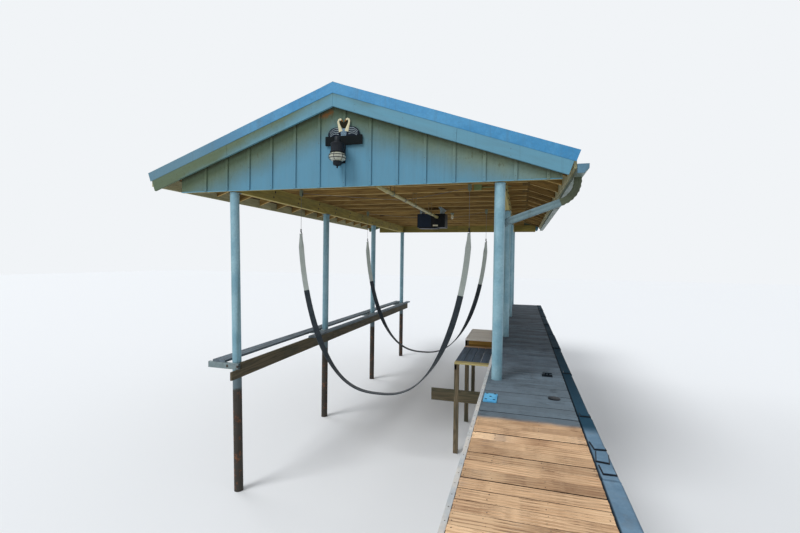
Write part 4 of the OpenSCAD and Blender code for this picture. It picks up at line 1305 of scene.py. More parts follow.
def makeDownspout():
    lo, hi = boxes["downspout"]
    topX, outlet = low("gutter").x + gutterLook["foot"] / 2, low("gutter").z
    y, (outer, inner) = (lo.y + hi.y) / 2, spoutLook["bends"]
    bendZ = outlet - spoutLook["drop"]
    path = [Vector((topX, y, outlet)), Vector((topX, y, bendZ)), Vector((0, y, bendZ - spoutLook["fall"])),
            Vector((0, y, lo.z))]
    way = [(b - a).normalized() for a, b in pairwise(path)]
    section = spoutSection()

    def ringAt(point, ahead, grow):
        side = Vector((ahead.z, 0, -ahead.x)).normalized()
        return [point + side * (a * grow) + Vector((0, b * grow, 0)) for a, b in section]

    def pleated(corner, before, after, bend):
        # an elbow: the pipe turns in small pleats
        start, end = corner - before * bend, corner + after * bend
        steps = spoutLook["pleats"] * 2
        rings = []
        for i in range(steps + 1):
            t = i / steps
            point = start * (1 - t) ** 2 + corner * (2 * t * (1 - t)) + end * t ** 2
            ahead = (before * (1 - t) + after * t).normalized()
            rings.append(ringAt(point, ahead, 1.03 if i % 2 else 0.89))
        return rings

    skin([ringAt(path[0], way[0], 0.93), ringAt(path[1] - way[0] * outer, way[0], 0.95)], 1, 0.3)
    skin(pleated(path[1], way[0], way[1], outer), 1, 0.4)
    skin([ringAt(path[1] + way[1] * outer, way[1], 1.0), ringAt(path[2] - way[1] * inner, way[1], 1.0)],
         0, 0.5)
    skin(pleated(path[2], way[1], way[2], inner), 0, 0.6)
    skin([ringAt(path[2] + way[2] * inner, way[2], 1.0), ringAt(path[3], way[2], 1.0)], 0, 0.7)
    half = spoutLook["wide"] / 2
    for z in spoutLook["straps"]:
        block((-half, lo.y - 0.0008, z), (half, hi.y, z + spoutLook["strap"]), tone=0.2)
    addPiece("downspoutPipe", "spoutMetal spoutElbow", "downspout", smooth=30)


# Lamp: black housing, a flattened glass with two hoops, a lower cup and a wall plate.
# Round parts are (radius, height) profiles, plate is (half width, thick, foot), arm (half width, foot, top)

lampLook = {"hoop": 0.0055, "bar": 0.0042, "bars": 6, "sides": 40, "plate": (0.06, 0.02, 0.1),
            "arm": (0.02, 0.27, 0.31),
            "cup": [(0.004, 0.0), (0.011, 0.004), (0.013, 0.014), (0.007, 0.022), (0.024, 0.034),
                    (0.056, 0.044), (0.062, 0.057), (0.062, 0.098), (0.052, 0.108)],
            "glass": [(0.052, 0.1), (0.084, 0.106), (0.108, 0.12), (0.119, 0.139), (0.1218, 0.158),
                      (0.12, 0.18), (0.11, 0.2), (0.092, 0.214), (0.07, 0.222)],
            "housing": [(0.072, 0.216), (0.1, 0.22), (0.105, 0.226), (0.105, 0.238), (0.097, 0.245),
                        (0.097, 0.34), (0.1, 0.346), (0.094, 0.356), (0.06, 0.366), (0.045, 0.378),
                        (0.043, 0.44), (0.03, 0.456), (0.01, 0.46)]}


def makeLamp():
    lo, hi = boxes["wall_lamp"]
    centre = ((lo.x + hi.x) / 2, lo.y + (hi.x - lo.x) / 2, lo.z)
    sides, glass, wall = lampLook["sides"], lampLook["glass"], hi.y
    for word, finish in (("cup", 0), ("glass", 1), ("housing", 0)):
        lathe(lampLook[word], centre, sides, material=finish)
    for radius, height in (glass[3], glass[5]):
        tube([(x, y, centre[2] + height) for x, y in circle(centre[0], centre[1], radius, sides)],
             lampLook["hoop"], 6, closed=True)
    for k in range(lampLook["bars"]):
        a = (k + 0.5) * 2 * pi / lampLook["bars"]
        tube([(centre[0] + (r + 0.001) * cos(a), centre[1] + (r + 0.001) * sin(a), centre[2] + z)
              for r, z in glass[1:-1]], lampLook["bar"], 6)
    half, thick, foot = lampLook["plate"]
    block((centre[0] - half, wall - thick, centre[2] + foot), (centre[0] + half, wall, hi.z))
    half, down, up = lampLook["arm"]
    block((centre[0] - half, centre[1] + 0.08, centre[2] + down),
          (centre[0] + half, wall - 0.01, centre[2] + up))
    addPiece("gableLamp", "blackMetal lampGlass", "wall_lamp", smooth=40)


# Sign: a bare dark plaque under two goose necks that make a heart, with a wing on each side.
# Shapes are (across, up) from the middle of the plaque's foot, and a neck also has its half width

signLook = {
    "half": 0.292, "top": 0.14, "clip": 0.006,
    "wing": [(0.04, 0.13), (0.236, 0.13), (0.25, 0.16), (0.242, 0.195), (0.218, 0.228), (0.186, 0.25),
             (0.15, 0.262), (0.105, 0.264), (0.07, 0.246), (0.05, 0.21)],
    "neck": [(0.045, 0.2, 0.033), (0.055, 0.232, 0.028), (0.064, 0.262, 0.023), (0.074, 0.292, 0.019),
             (0.083, 0.322, 0.016), (0.087, 0.348, 0.015), (0.079, 0.37, 0.0155), (0.058, 0.38, 0.0165),
             (0.038, 0.37, 0.0145)],
    "heart": [(0.0, 0.235), (0.024, 0.262), (0.05, 0.296), (0.064, 0.328), (0.056, 0.356), (0.03, 0.358),
              (0.0, 0.33)],
    "breast": [(0.0, 0.138), (0.056, 0.138), (0.066, 0.165), (0.068, 0.195), (0.056, 0.225), (0.03, 0.242),
               (0.0, 0.242)],
    "feathers": 4, "featherWidth": 0.0055, "scallop": 0.0016,
}


def flatRings(path, widths, sides, depth):
    # rings of a rounded band that lies against the wall, in the plane of X and Z
    points, rings = [Vector(p) for p in path], []
    for point, ahead, wide in zip(points, waysAhead(points), widths):
        side = Vector((ahead.z, 0, -ahead.x))
        rings.append([point + side * a + Vector((0, b * depth / wide, 0))
                      for a, b in circle(0, 0, wide, sides)])
    return rings


def makeSign():
    lo, hi = boxes["sign_plaque"]
    x, z, face, wall = (lo.x + hi.x) / 2, lo.z, lo.y, hi.y

    def flat(points, front, back, material, way=1):
        prism([(x + a * way, z + b) for a, b in points], front, back, "y", material, (1, 0, 0), 0.5)

    def band(points, material, way=1, depth=0.004):
        path = [(x + a * way, face + 0.008, z + b) for a, b, r in points]
        skin(flatRings(path, [r for a, b, r in points], 10, depth), material, 0.5)

    def mirrored(points):
        return points + [(-a, b) for a, b in reversed(points) if a]

    # the bare plaque: a board with clipped corners and a thin raised middle
    for inset, front, back in ((0.0, face + 0.007, wall), (0.012, face + 0.0055, face + 0.009)):
        clip = signLook["clip"]
        wide, foot, top = signLook["half"] - inset, 0.002 + inset, signLook["top"] - inset
        flat(mirrored([(0.0, foot), (wide - clip, foot), (wide, foot + clip), (wide, top - clip),
                       (wide - clip, top), (0.0, top)]), front, back, 0)
    for way in (-1, 1):
        # a folded wing with pale feather lines, and a neck that turns over at the head and ends in a bill
        flat(signLook["wing"], face + 0.006, wall, 2, way)
        for n in range(signLook["feathers"]):
            ts = [k / 8 for k in range(9)]
            band([(0.078 + (0.145 - n * 0.004) * t,
                   0.24 - n * 0.027 + 0.016 * sin(pi * t) - (0.05 - n * 0.008) * t * t,
                   signLook["featherWidth"] * (1 - 0.45 * t)) for t in ts], 3, way)
        band(signLook["neck"], 1, way, 0.0075)
        across, up, wide = signLook["neck"][-1]
        band([(across, up, wide * 0.8), (across - 0.012, up - 0.012, wide * 0.6),
              (across - 0.021, up - 0.03, wide * 0.25)], 6, way, 0.006)
    flat(mirrored(signLook["heart"]), face + 0.0075, wall, 4)
    flat(mirrored(signLook["breast"]), face + 0.0062, wall, 5)
    # rows of scallops on the breast
    for row in range(3):
        for n in range(3 + row % 2):
            middle = (n - (2 + row % 2) / 2) * 0.034
            band([(middle + 0.015 * cos(pi * k / 6), 0.15 + row * 0.024 + 0.01 * sin(pi * k / 6),
                   signLook["scallop"]) for k in range(7)], 2)
    addPiece("gooseSign", "signGround signCream signWing signFeather signHeart signBreast signBill",
             "sign_plaque", smooth=35)


print("roof and gable pieces defined")


# Walkway: boards, nails, stringers, bearers, piles, cap and edge strip

def cutHoles(mesh, centres, radius, zLow, zHigh):
    # post holes through the finished boards
    for cx, cy in centres:
        lathe([(radius, zLow), (radius, zHigh)], (cx, cy, 0))
    cutter, target = newObject("cutter", closeMesh("cutter")), newObject("target", mesh)
    modifier = target.modifiers.new("holes", "BOOLEAN")
    modifier.object = cutter
    modifier.solver = "MANIFOLD"
    return plainMesh(mesh.name, target, cutter)


def stringerPlaces():
    lo, hi = boxes["deck_stringers"]
    last = hi.x - walkLook["stringer"]
    return [lo.x, postRadius, (last + postRadius) / 2, last]


def makeDeckBoards():
    lo, hi = boxes["deck_boards"]
    gap, crown = walkLook["gap"], walkLook["crown"]
    count = round((hi.y - lo.y + gap) / (walkLook["board"] + gap))
    step = (hi.y - lo.y + gap) / count
    wide = step - gap
    prism([(0, lo.z), (wide, lo.z), (wide, deckTop - crown), (wide * 0.75, deckTop - crown * 0.3),
           (wide / 2, deckTop), (wide * 0.25, deckTop - crown * 0.3), (0, deckTop - crown)],
          lo.x, hi.x, "x")
    mesh = repeated("deckPlanks", closeMesh("board", walkLook["edge"]), "deckTimber", count, (0, lo.y, 0),
                    (0, step, 0), (0, 0.0022, 0.0016), (0.003, 0.0, 0.0022), 31)
    mesh = cutHoles(mesh, [(0.0, n * bay) for n in range(4)], walkLook["hole"], lo.z - 0.1, deckTop + 0.1)
    addPiece("deckPlanks", "deckTimber", "deck_boards", mesh=mesh)
    nails = []
    for n in range(count):
        for x in stringerPlaces():
            for share in walkLook["nailPlaces"]:
                y = lo.y + n * step + wide * share + stray(0.006)
                nailX = x + walkLook["stringer"] / 2 + stray(0.012)
                if min(hypot(nailX, y - k * bay) for k in range(4)) > walkLook["hole"] + 0.012:
                    nails.append(((nailX, y, deckTop - 0.0006), (0, 0, 1)))
    fixings("deckNails", nailMesh, nails, "rustyNail", 0.35, 5)


def makeDeckFrame():
    lo, hi = boxes["deck_stringers"]
    joints = [k * bay / 2 + walkLook["jointPast"] for k in (-1, 1, 3, 5) if k * bay / 2 < hi.y - 0.5]
    cuts = [lo.y, *joints, hi.y]
    for x in stringerPlaces():
        planks(x, x + walkLook["stringer"], cuts, lo.z, hi.z)
    addPiece("stringerTimbers", "pileTimber", "deck_stringers", 0.004)
    lo, hi = boxes["deck_bearers"]
    deep = walkLook["bearer"]
    count = round((hi.y - deep - lo.y) / (bay / 2)) + 1
    block((lo.x, 0, lo.z), (hi.x, deep, hi.z))
    mesh = repeated("bearerTimbers", closeMesh("bearer", 0.005), "pileTimber", count, (0, lo.y, 0),
                    (0, bay / 2, 0), seed=12)
    addPiece("bearerTimbers", "", "deck_bearers", mesh=mesh)
    bolts = []
    for k in range(count):
        y = lo.y + k * bay / 2 + deep / 2
        # the slip side has its own piles in front of the posts and halfway between them
        for x in (hi.x - walkLook["pile"], 0.0)[:2 if k < 3 or k % 2 == 0 else 1]:
            makePile(x, y, lo.z)
            bolts += [((x, y + s * deep / 2, hi.z - 0.07), (0, s, 0)) for s in (-1, 1)]
    addPiece("deckPiles", "pileTimber", "deck_piles", smooth=50)
    fixings("bearerBolts", boltMesh, bolts, "rustyNail")


def makePile(x, y, top, sides=24, levels=14):
    # a round pile, a little crooked and rough
    radius = walkLook["pile"] / 2
    waves = [(rng.uniform(0.2, 1.1), rng.uniform(0, 6.3), rng.randint(2, 7)) for n in range(5)]
    rings = []
    for z in (top * i / levels for i in range(levels + 1)):
        ring = []
        for a in (2 * pi * k / sides for k in range(sides)):
            bump = sum(sin(a * turns + shift + z * rate) for rate, shift, turns in waves)
            r = radius * (0.965 + 0.006 * bump)
            ring.append((x + r * cos(a), y + r * sin(a), z))
        rings.append(ring)
    skin(rings)


# the cap's lengths end at the cuts, and a pad is (middle, length, turn in degrees)
capLook = {"cuts": (-2.45, -1.14, 0.6, 2.4, 3.9, 5.4, 7.0, 8.6), "sink": 0.004, "lift": 0.011, "lip": 0.07,
           "stray": 0.016, "padHalf": 0.052, "rim": 0.008,
           "pads": ((-2.3, 0.15, 3), (-2.08, 0.2, -8), (-1.86, 0.16, 7), (-1.1, 0.1, 2), (0.64, 0.12, -4),
                    (2.44, 0.14, 5), (5.44, 0.12, -3), (8.64, 0.13, 4))}


def makeDeckCap():
    lo, hi = boxes["deck_cap"]
    lip, middle = capLook["lip"], (lo.x + hi.x) / 2
    cuts = [lo.y, *capLook["cuts"], hi.y]
    for a, b in pairwise(cuts):
        top = hi.z - capLook["lift"] - rng.uniform(0, capLook["sink"])
        outer = hi.x - rng.uniform(0, capLook["stray"])
        rings = []
        # the near end of each length curls up
        for y, lift in ((a + 0.003, 1.0), (a + lip * 0.4, 0.5), (a + lip, 0.0), (b - 0.003, 0.0)):
            z = top + lift * capLook["lift"]
            rings.append([(px, y, pz) for px, pz in ((lo.x, lo.z), (outer, lo.z), (outer, z - 0.02),
                                                     (outer - 0.02, z), (lo.x + 0.008, z),
                                                     (lo.x, z - 0.008))])
        skin(rings)
    addPiece("capLengths", "capVinyl", "deck_cap", 0.002)
    # loose pads on the cap, each on a darker foot that shows as its outline
    for y, length, turn in capLook["pads"]:
        c, s = cos(radians(turn)), sin(radians(turn))
        half, rim = capLook["padHalf"], capLook["rim"]
        base = hi.z - capLook["lift"] - 0.004
        for half, long, z0, z1, finish in ((half, length / 2, 0.003, 0.013, 1),
                                           (half - rim, length / 2 - rim, 0.013, 0.02, 0)):
            corners = [(-half, -long), (half, -long), (half, long * 0.6), (half * 0.7, long), (-half, long)]
            prism([(middle + px * c - py * s, y + px * s + py * c) for px, py in corners],
                  base + z0, base + z1, "z", material=finish)
    addPiece("capPads", "capVinyl blackMetal", "", 0.002)


def makeEdgeStrip():
    lo, hi = boxes["deck_edge_strip"]
    quarter = (hi.y - lo.y) / 4
    planks(lo.x, hi.x, [lo.y, *(lo.y + quarter * n for n in (1, 2, 3)), hi.y], lo.z, hi.z)
    nails = []
    for y in spaced(lo.y + 0.08, hi.y - 0.05, walkLook["stripNailGap"]):
        nails += [(((lo.x + hi.x) / 2 + stray(0.003), y, hi.z), (0, 0, 1)),
                  ((lo.x, y + 0.05, (lo.z + hi.z) / 2), (-1, 0, 0))]
    addPiece("edgeStripLengths", "stripPaint", "deck_edge_strip", 0.006, 2)
    fixings("edgeStripNails", nailMesh, nails, "rustyNail", 0.2, 9)


# Landing: its low part has boards across at both ends and slats between them, the step boards across

landingLook = {"board": 0.145, "gap": 0.006, "slats": 5, "slatGap": 0.012, "leg": 0.089, "joist": 0.11,
               "joistT": 0.05, "stepAt": 4.05, "thick": 0.035, "rail": (1.02, 1.255), "edge": 0.004,
               "slatNails": (0.3, 0.65), "stepNails": (0.25, 0.75)}


def makeLanding():
    lo, hi = boxes["landing_boards"]
    wide, gap, slatGap, thick, stepY = (landingLook[key]
                                        for key in ("board", "gap", "slatGap", "thick", "stepAt"))
    lowTop = lo.z + thick
    nails = []
    block((lo.x, lo.y, lo.z), (hi.x, lo.y + wide, lowTop))
    a, b = lo.y + wide + gap, stepY - wide - gap
    slat = (hi.x - lo.x + slatGap) / landingLook["slats"]
    for n in range(landingLook["slats"]):
        x = lo.x + n * slat
        block((x, a, lo.z), (x + slat - slatGap, b, lowTop - rng.uniform(0, 0.002)), material=1)
        nails += [((lo.x + (n + s) * slat, y + stray(0.006), lowTop - 0.0012), (0, 0, 1))
                  for s in landingLook["slatNails"] for y in (a + 0.03, (a + b) / 2, b - 0.03)]
    block((lo.x, b + gap, lo.z), (hi.x, stepY - 0.001, lowTop), material=2)
    count = round((hi.y - stepY) / (wide + gap))
    step = (hi.y - stepY + gap) / count
    for n in range(count):
        y = stepY + n * step
        block((lo.x, y, hi.z - thick), (hi.x, y + step - gap, hi.z - rng.uniform(0, 0.0015)), material=3)
        nails += [((x, y + s * step, hi.z - 0.001), (0, 0, 1)) for x in (lo.x + 0.03, hi.x - 0.06)
                  for s in landingLook["stepNails"]]
    addPiece("landingPlanks", "landingTan landingSlat landingPink landingPale",
             "landing_boards", landingLook["edge"])
    fixings("landingNails", nailMesh, nails, "rustyNail", 0.3, 6)
    # frame: joists, legs, the riser board and the low rail
    under, upper = lo.z, hi.z - thick
    leg, joist = landingLook["leg"], landingLook["joist"]
    for x in (lo.x, hi.x - leg):
        for y0, y1, top in ((lo.y, stepY - 0.0005, under), (stepY, hi.y, upper)):
            block((x, y0, under - joist), (x + landingLook["joistT"], y1, top))
        for y in (lo.y, stepY, hi.y - leg):
            block((x, y, 0), (x + leg, y + leg, (under if y < stepY else upper) - 0.0004))
    block((lo.x + 0.0004, stepY + 0.0004, under - joist + 0.0004),
          (hi.x - 0.0004, stepY + leg - 0.0004, upper - 0.0006), material=2)
    block((low("landing_frame").x, lo.y + 0.0004, landingLook["rail"][0]),
          (hi.x - 0.0004, lo.y + timber, landingLook["rail"][1]), material=1)
    addPiece("landingFrameTimbers", "pileTimber wetTimber landingGold",
             "landing_frame", 0.003)


# Catwalk: planks on steel tubes, a notched beam, and strap clamps round the posts

catwalkLook = {"wall": 0.004, "arm": 0.05, "outer": 0.235, "inner": 0.14, "innerStart": 2.25, "strap": 0.04,
               "edge": 0.005, "jointBefore": 0.09, "nailIn": 0.03, "lean": 0.068, "ear": 0.035,
               "beamJoints": (1.02, 2.03)}


def makeCatwalk():
    lo, hi = boxes["catwalk_planks"]
    beamLo, beamHi = boxes["catwalk_beam"]
    armLo, armHi = boxes["catwalk_arms"]
    nails, nailIn = [], catwalkLook["nailIn"]
    second, third = (n * bay - catwalkLook["jointBefore"] for n in (1, 2))
    for x0, x1, cuts in ((lo.x, lo.x + catwalkLook["outer"], (lo.y, second, third, hi.y)),
                         (hi.x - catwalkLook["inner"], hi.x, (catwalkLook["innerStart"], third, hi.y))):
        for a, b in pairwise(cuts):
            block((x0, a + 0.0015, lo.z), (x1, b - 0.0015, hi.z - rng.uniform(0, 0.0015)))
            nails += [((x, y, hi.z - 0.001), (0, 0, 1)) for y in (a + nailIn, b - nailIn)
                      for x in (x0 + nailIn, x1 - nailIn)]
    addPiece("catwalkPlankBoards", "catwalkTimber", "catwalk_planks",
             catwalkLook["edge"], 2)
    fixings("catwalkNails", screwMesh, nails, "rustyNail", 0.2, 3)
    # the beam's first plank is notched over the front post's arm
    notch = timber - postRadius
    cuts = [*(bay * share for share in catwalkLook["beamJoints"]), beamHi.y]
    prism([(beamLo.y, beamLo.z), (cuts[0], beamLo.z), (cuts[0], beamHi.z), (notch, beamHi.z),
           (notch, armLo.z), (beamLo.y, armLo.z)], beamLo.x, beamHi.x, "x")
    for a, b in pairwise(cuts):
        block((beamLo.x, a + 0.002, beamLo.z), (beamHi.x, b, beamHi.z))
    addPiece("catwalkBeamPlank", "wetTimber", "catwalk_beam", 0.004)
    bolts = []
    z0, z1 = armLo.z + 0.03, armLo.z + 0.03 + catwalkLook["strap"]
    for n in range(4):
        y1 = n * bay - postRadius
        y0 = y1 - catwalkLook["arm"]
        hollowBar(armLo.x, beamHi.x if n == 0 else beamLo.x, y0, y1, armLo.z, armHi.z, catwalkLook["wall"])
        # a strap round the post with two ears bolted through the arm
        x = leftX + (catwalkLook["lean"] if n == 0 else 0.0)
        inner, outer = (circle(x, n * bay, postRadius + off, 48)[:25] for off in (0.004, 0.009))
        prism(inner + outer[::-1], z0, z1, "z")
        for s in (-1, 1):
            ear = x + s * (postRadius + 0.0065)
            block((ear - 0.003, y1, z0), (ear + 0.003, n * bay + 0.002, z1))
            tip = ear + s * catwalkLook["ear"]
            block((min(ear, tip), y1, z0), (max(ear, tip), y1 + 0.006, z1))
            bolts += [((ear + s * 0.019, y, z0 + 0.02), (0, way, 0))
                      for y, way in ((y1 + 0.006, 1), (y0, -1))]
    addPiece("catwalkArmTubes", "plainSteel", "catwalk_arms")
    fixings("catwalkArmBolts", boltMesh, bolts, "rustyNail")


def hollowBar(x0, x1, y0, y1, z0, z1, wall):
    # a rectangular steel tube along X, open at both ends, with small corner rounds
    outer = roundedBox(y0, y1, z0, z1, 0.008)
    inner = roundedBox(y0 + wall, y1 - wall, z0 + wall, z1 - wall, 0.005)
    skin([[(x, a, b) for a, b in ring] for x, ring in ((x0, outer), (x1, outer), (x1, inner), (x0, inner))],
         closed=True)


# Hoist: drive pipe with its bearings and windings, pulleys, hooks, cables, slings and motor

# couplings are places from the pipe's front, from its middle and back from the motor
hoistLook = {"cable": 0.0035, "pin": 0.07, "hookTop": 4.36, "winds": 6, "windGap": 0.0085,
             "bearings": (1, 3, 5, 7), "couplings": (0.35, 0.4, 0.16), "coupling": 0.12,
             "sheave": [(0.012, -0.014), (0.032, -0.014), (0.032, -0.008), (0.025, 0.0), (0.032, 0.008),
                        (0.032, 0.014), (0.012, 0.014)]}


def slingPlaces():
    return (low("slings").y + 0.05, high("slings").y - 0.05)


def drivePlace():
    lo, hi = boxes["drive_pipe"]
    return (lo.x + hi.x) / 2, (lo.z + hi.z) / 2, (hi.x - lo.x) / 2


def motorEnds():
    middle = (low("hoist_motor").y + high("hoist_motor").y) / 2
    return middle - motorLook["long"] / 2, middle + motorLook["long"] / 2


def makeDrive():
    lo, hi = boxes["drive_pipe"]
    x, z, radius = drivePlace()
    ends = motorEnds()
    spans = [(lo.y, ends[0] - 0.0003, radius, 0.01), (ends[1] + 0.0003, hi.y, radius, 0.01)]
    front, middle, last = hoistLook["couplings"]
    spans += [(y, y + hoistLook["coupling"], radius + 0.007, 0.004)
              for y in (lo.y + front, (lo.y + hi.y) / 2 + middle, ends[0] - last)]
    for a, b, r, taper in spans:
        lathe([(r - 0.004, a), (r, a + taper), (r, b - taper), (r - 0.004, b)], (x, 0, z), 24, axis="y")
    for y in slingPlaces():
        coil = []
        for i in range(hoistLook["winds"] * 16 + 1):
            a = 2 * pi * i / 16
            coil.append((x + (radius + 0.004) * cos(a), y - 0.03 + hoistLook["windGap"] * i / 16,
                         z + (radius + 0.004) * sin(a)))
        tube(coil, hoistLook["cable"], 6, material=1)
    addPiece("drivePipe", "khakiPipe fixingSteel", "drive_pipe", smooth=40)


def makeCables():
    x, z, radius = drivePlace()
    cable = hoistLook["cable"]
    for y in (trussY(n) for n in hoistLook["bearings"]):
        block((x - 0.042, y - 0.004, beamTop - 0.012), (x + 0.042, y + timber + 0.004, beamTop), 3, 0.4)
        a, b = y + 0.002, y + timber - 0.002
        outer, inner = radius + 0.01, radius + 0.001
        lathe([(outer, a), (outer, b), (inner, b), (inner, a), (outer, a)], (x, 0, z), 24, axis="y")
        for s in (-1, 1):
            block((x + s * 0.036 - 0.004, y + 0.004, z + 0.004),
                  (x + s * 0.036 + 0.004, y + timber - 0.004, beamTop - 0.01), 3)
    hooks = (low("slings").x + 0.005, high("slings").x - 0.005)
    for y in slingPlaces():
        for hookX in hooks:
            makePulley(hookX, y)
            makeHook(hookX, y)
            pinZ = beamTop - hoistLook["pin"]
            tube([(hookX, y, hoistLook["hookTop"] - 0.02), (hookX, y, beamTop - 0.13),
                  (hookX, y, pinZ - 0.02)], cable, 8, material=1)
            # from the pulley down to the pipe, with a little sag
            side = copysign(1, hookX - x)
            a, b = hookX - side * 0.02, x + side * (radius + 0.004)
            tube([(a + (b - a) * t, y, pinZ + 0.012 + (z - pinZ - 0.012) * t - 0.029 * t * (1 - t))
                  for t in (i / 10 for i in range(11))], cable, 8, material=1)
    addPiece("hoistCables", "cheekSteel fixingSteel blackMetal plateSteel", "hoist_cables",
             smooth=40)


def makePulley(x, y):
    # two cheek plates, a grooved sheave and its pin
    outline = [(x + a, beamTop - b) for a, b in ((-0.03, 0), (-0.03, 0.08), (-0.018, 0.115), (0.018, 0.115),
                                                 (0.03, 0.08), (0.03, 0))]
    for inner, outer in ((-0.023, -0.018), (0.018, 0.023)):
        prism(outline, y + inner, y + outer)
    block((x - 0.03, y - 0.03, beamTop - 0.005), (x + 0.03, y + 0.03, beamTop))
    lathe(hoistLook["sheave"], (x, y, beamTop - 0.07), 20, material=2, axis="y")
    tube([(x, y - 0.028, beamTop - 0.07), (x, y + 0.028, beamTop - 0.07)], 0.006, 8)


def makeHook(x, y):
    # a closed eye, a swivel barrel and an open hook
    top = hoistLook["hookTop"]
    tube([(a, y, b * 1.25 - 0.25 * (top - 0.018)) for a, b in circle(x, top - 0.018, 0.012, 16)], 0.0055, 8,
         material=2, closed=True)
    lathe([(0.006, -0.064), (0.0125, -0.06), (0.0135, -0.05), (0.0125, -0.038), (0.006, -0.033)],
          (x, y, top), 16, material=2)
    bend = [radians(90 - k * 21) for k in range(13)]
    hook = [(x, y, top - 0.06), (x, y, top - 0.066)]
    hook += [(x + 0.017 * cos(a), y, top - 0.086 + 0.019 * sin(a)) for a in bend]
    tube(hook, [0.009] * 2 + [0.0095 - 0.0004 * k for k in range(13)], 8, material=2)


slingLook = {"wide": 0.1, "foot": 2.6, "side": 0.62, "web": 0.006, "sleeve": 0.019, "sleeveTop": 3.2,
             "steps": 96, "eye": ((0.014, 0.026), (0.009, 0.02)), "eyeHalf": 0.024, "flap": 0.24,
             "neck": 0.16, "turn": 78, "turnFrom": 1.5, "turnOver": 1.3,
             "section": ((-1, -0.5), (-0.9, -1), (-0.4, -1), (0.4, -1), (0.9, -1), (1, -0.5),
                         (1, 0.5), (0.9, 1), (0.4, 1), (-0.4, 1), (-0.9, 1), (-1, 0.5))}


def makeSlings():
    lo, hi = boxes["slings"]
    half, rise, middle = (hi.x - lo.x) / 2 - 0.005, hi.z - lo.z - 0.005, (lo.x + hi.x) / 2
    steps, eyeHalf = slingLook["steps"], slingLook["eyeHalf"]
    points = []
    for t in (-1 + 2 * i / steps for i in range(steps + 1)):
        u = copysign(1 - (1 - abs(t)) ** 1.6, t)
        up = 1 - (1 - abs(u) ** slingLook["foot"]) ** slingLook["side"]
        points.append(Vector((middle + half * u, 0, lo.z + 0.005 + rise * up)))

    def strap(y, thick, wide, top, neck, crease, material):
        rings = []
        for i, (point, ahead) in enumerate(zip(points, waysAhead(points))):
            if point.z > top:
                continue
            out = Vector((ahead.z, 0, -ahead.x))
            # flat under the load, and turned to face the slip's front towards the hooks
            share = min(1.0, max(0.0, (point.z - slingLook["turnFrom"]) / slingLook["turnOver"]))
            turn = radians(slingLook["turn"]) * share * share * (3 - 2 * share)
            turn = copysign(turn, point.x - middle)
            wideWay = Vector((0, cos(turn), 0)) + out * sin(turn)
            thinWay = out * cos(turn) - Vector((0, sin(turn), 0))
            halfWide = wide / 2 * (min(1.0, max(0.5, (hi.z - point.z) / slingLook["neck"])) if neck else 1)
            fold = crease * sin(i * 1.9)
            rings.append([point + Vector((0, y, 0)) + wideWay * (a * halfWide)
                          + thinWay * (b * thick / 2 + fold * (1 - a * a))
                          for a, b in slingLook["section"]])
        skin(rings, material=material)

    for y in slingPlaces():
        strap(y, slingLook["web"], slingLook["wide"], hi.z, True, 0.0, 0)
        strap(y, slingLook["sleeve"], slingLook["wide"] * 1.04, slingLook["sleeveTop"], False, 0.0016, 1)
        # sewn eyes: the strap turns back through the hook and is stitched down
        for x in (points[0].x, points[-1].x):
            arcs = [[(y + across * cos(pi * k / 12), hi.z - 0.004 + up * sin(pi * k / 12))
                     for k in range(13)] for across, up in slingLook["eye"]]
            prism(arcs[0] + arcs[1][::-1], x - eyeHalf, x + eyeHalf, "x", grain=(0, 0, 1))
            for s in (-1, 1):
                flap = y + s * 0.0085
                block((x - eyeHalf, flap - 0.003, hi.z - slingLook["flap"]),
                      (x + eyeHalf, flap + 0.003, hi.z - 0.003))
    addPiece("slingStraps", "webbing sleeve", "slings", smooth=35)


# slot is (from, to, first height, tall), cover is (rim, its left part's end, its right part's start), and
# label is (from, to, foot, top)
motorLook = {"tall": 0.36, "drop": 0.15, "long": 0.42, "runner": 0.06, "slots": 7, "slotGap": 0.034,
             "slot": (0.05, 0.31, 0.07, 0.012), "cover": (0.01, 0.35, 0.362),
             "label": (0.4, 0.53, 0.05, 0.085), "pipe": 0.06, "collar": 0.05}


def makeMotor():
    lo, hi = boxes["hoist_motor"]
    x0, x1 = lo.x, hi.x
    top = beamTop - motorLook["drop"]
    foot = top - motorLook["tall"]
    y0, y1 = motorEnds()
    block((x0, y0 + 0.012, foot + 0.02), (x1, y1 - 0.012, top))
    block((x0 + 0.03, y0 + 0.03, foot), (x1 - 0.2, y1 - 0.03, foot + 0.03))
    # the front cover stands proud in two parts, one with a row of slots, one with a small pale plate
    rim, split, rest = motorLook["cover"]
    for a, b, finish in ((x0 + rim, x0 + split, 3), (x0 + rest, x1 - rim, 0)):
        block((a, y0 + 0.002, foot + 0.03), (b, y0 + 0.02, top - 0.012), material=finish)
    left, right, up, tall = motorLook["slot"]
    for z in (foot + up + n * motorLook["slotGap"] for n in range(motorLook["slots"])):
        block((x0 + left, y0, z), (x0 + right, y0 + 0.006, z + tall), material=3)
    left, right, down, up = motorLook["label"]
    block((x0 + left, y0 - 0.0005, foot + down), (x0 + right, y0 + 0.003, foot + up), material=1)
    wide = motorLook["runner"]
    # a collar where the drive pipe goes in
    pipeX, pipeZ, radius = drivePlace()
    lathe([(radius + 0.001, y0), (motorLook["collar"], y0), (motorLook["collar"], y0 + 0.022),
           (radius + 0.001, y0 + 0.022), (radius + 0.001, y0)], (pipeX, 0, pipeZ), 28, material=0, axis="y")
    for x in (x0 + wide, drivePlace()[0] + motorLook["pipe"]):
        block((x, lo.y, beamTop - timber), (x + wide, hi.y, beamTop), material=2)
        block((x + 0.004, y0 + 0.02, top - 0.002), (x + wide - 0.004, y1 - 0.02, beamTop - timber),
              material=2)
    addPiece("hoistMotorHousing", "motorBlack paleLabel plainSteel motorBlue", "hoist_motor",
             0.006, 2, 40)


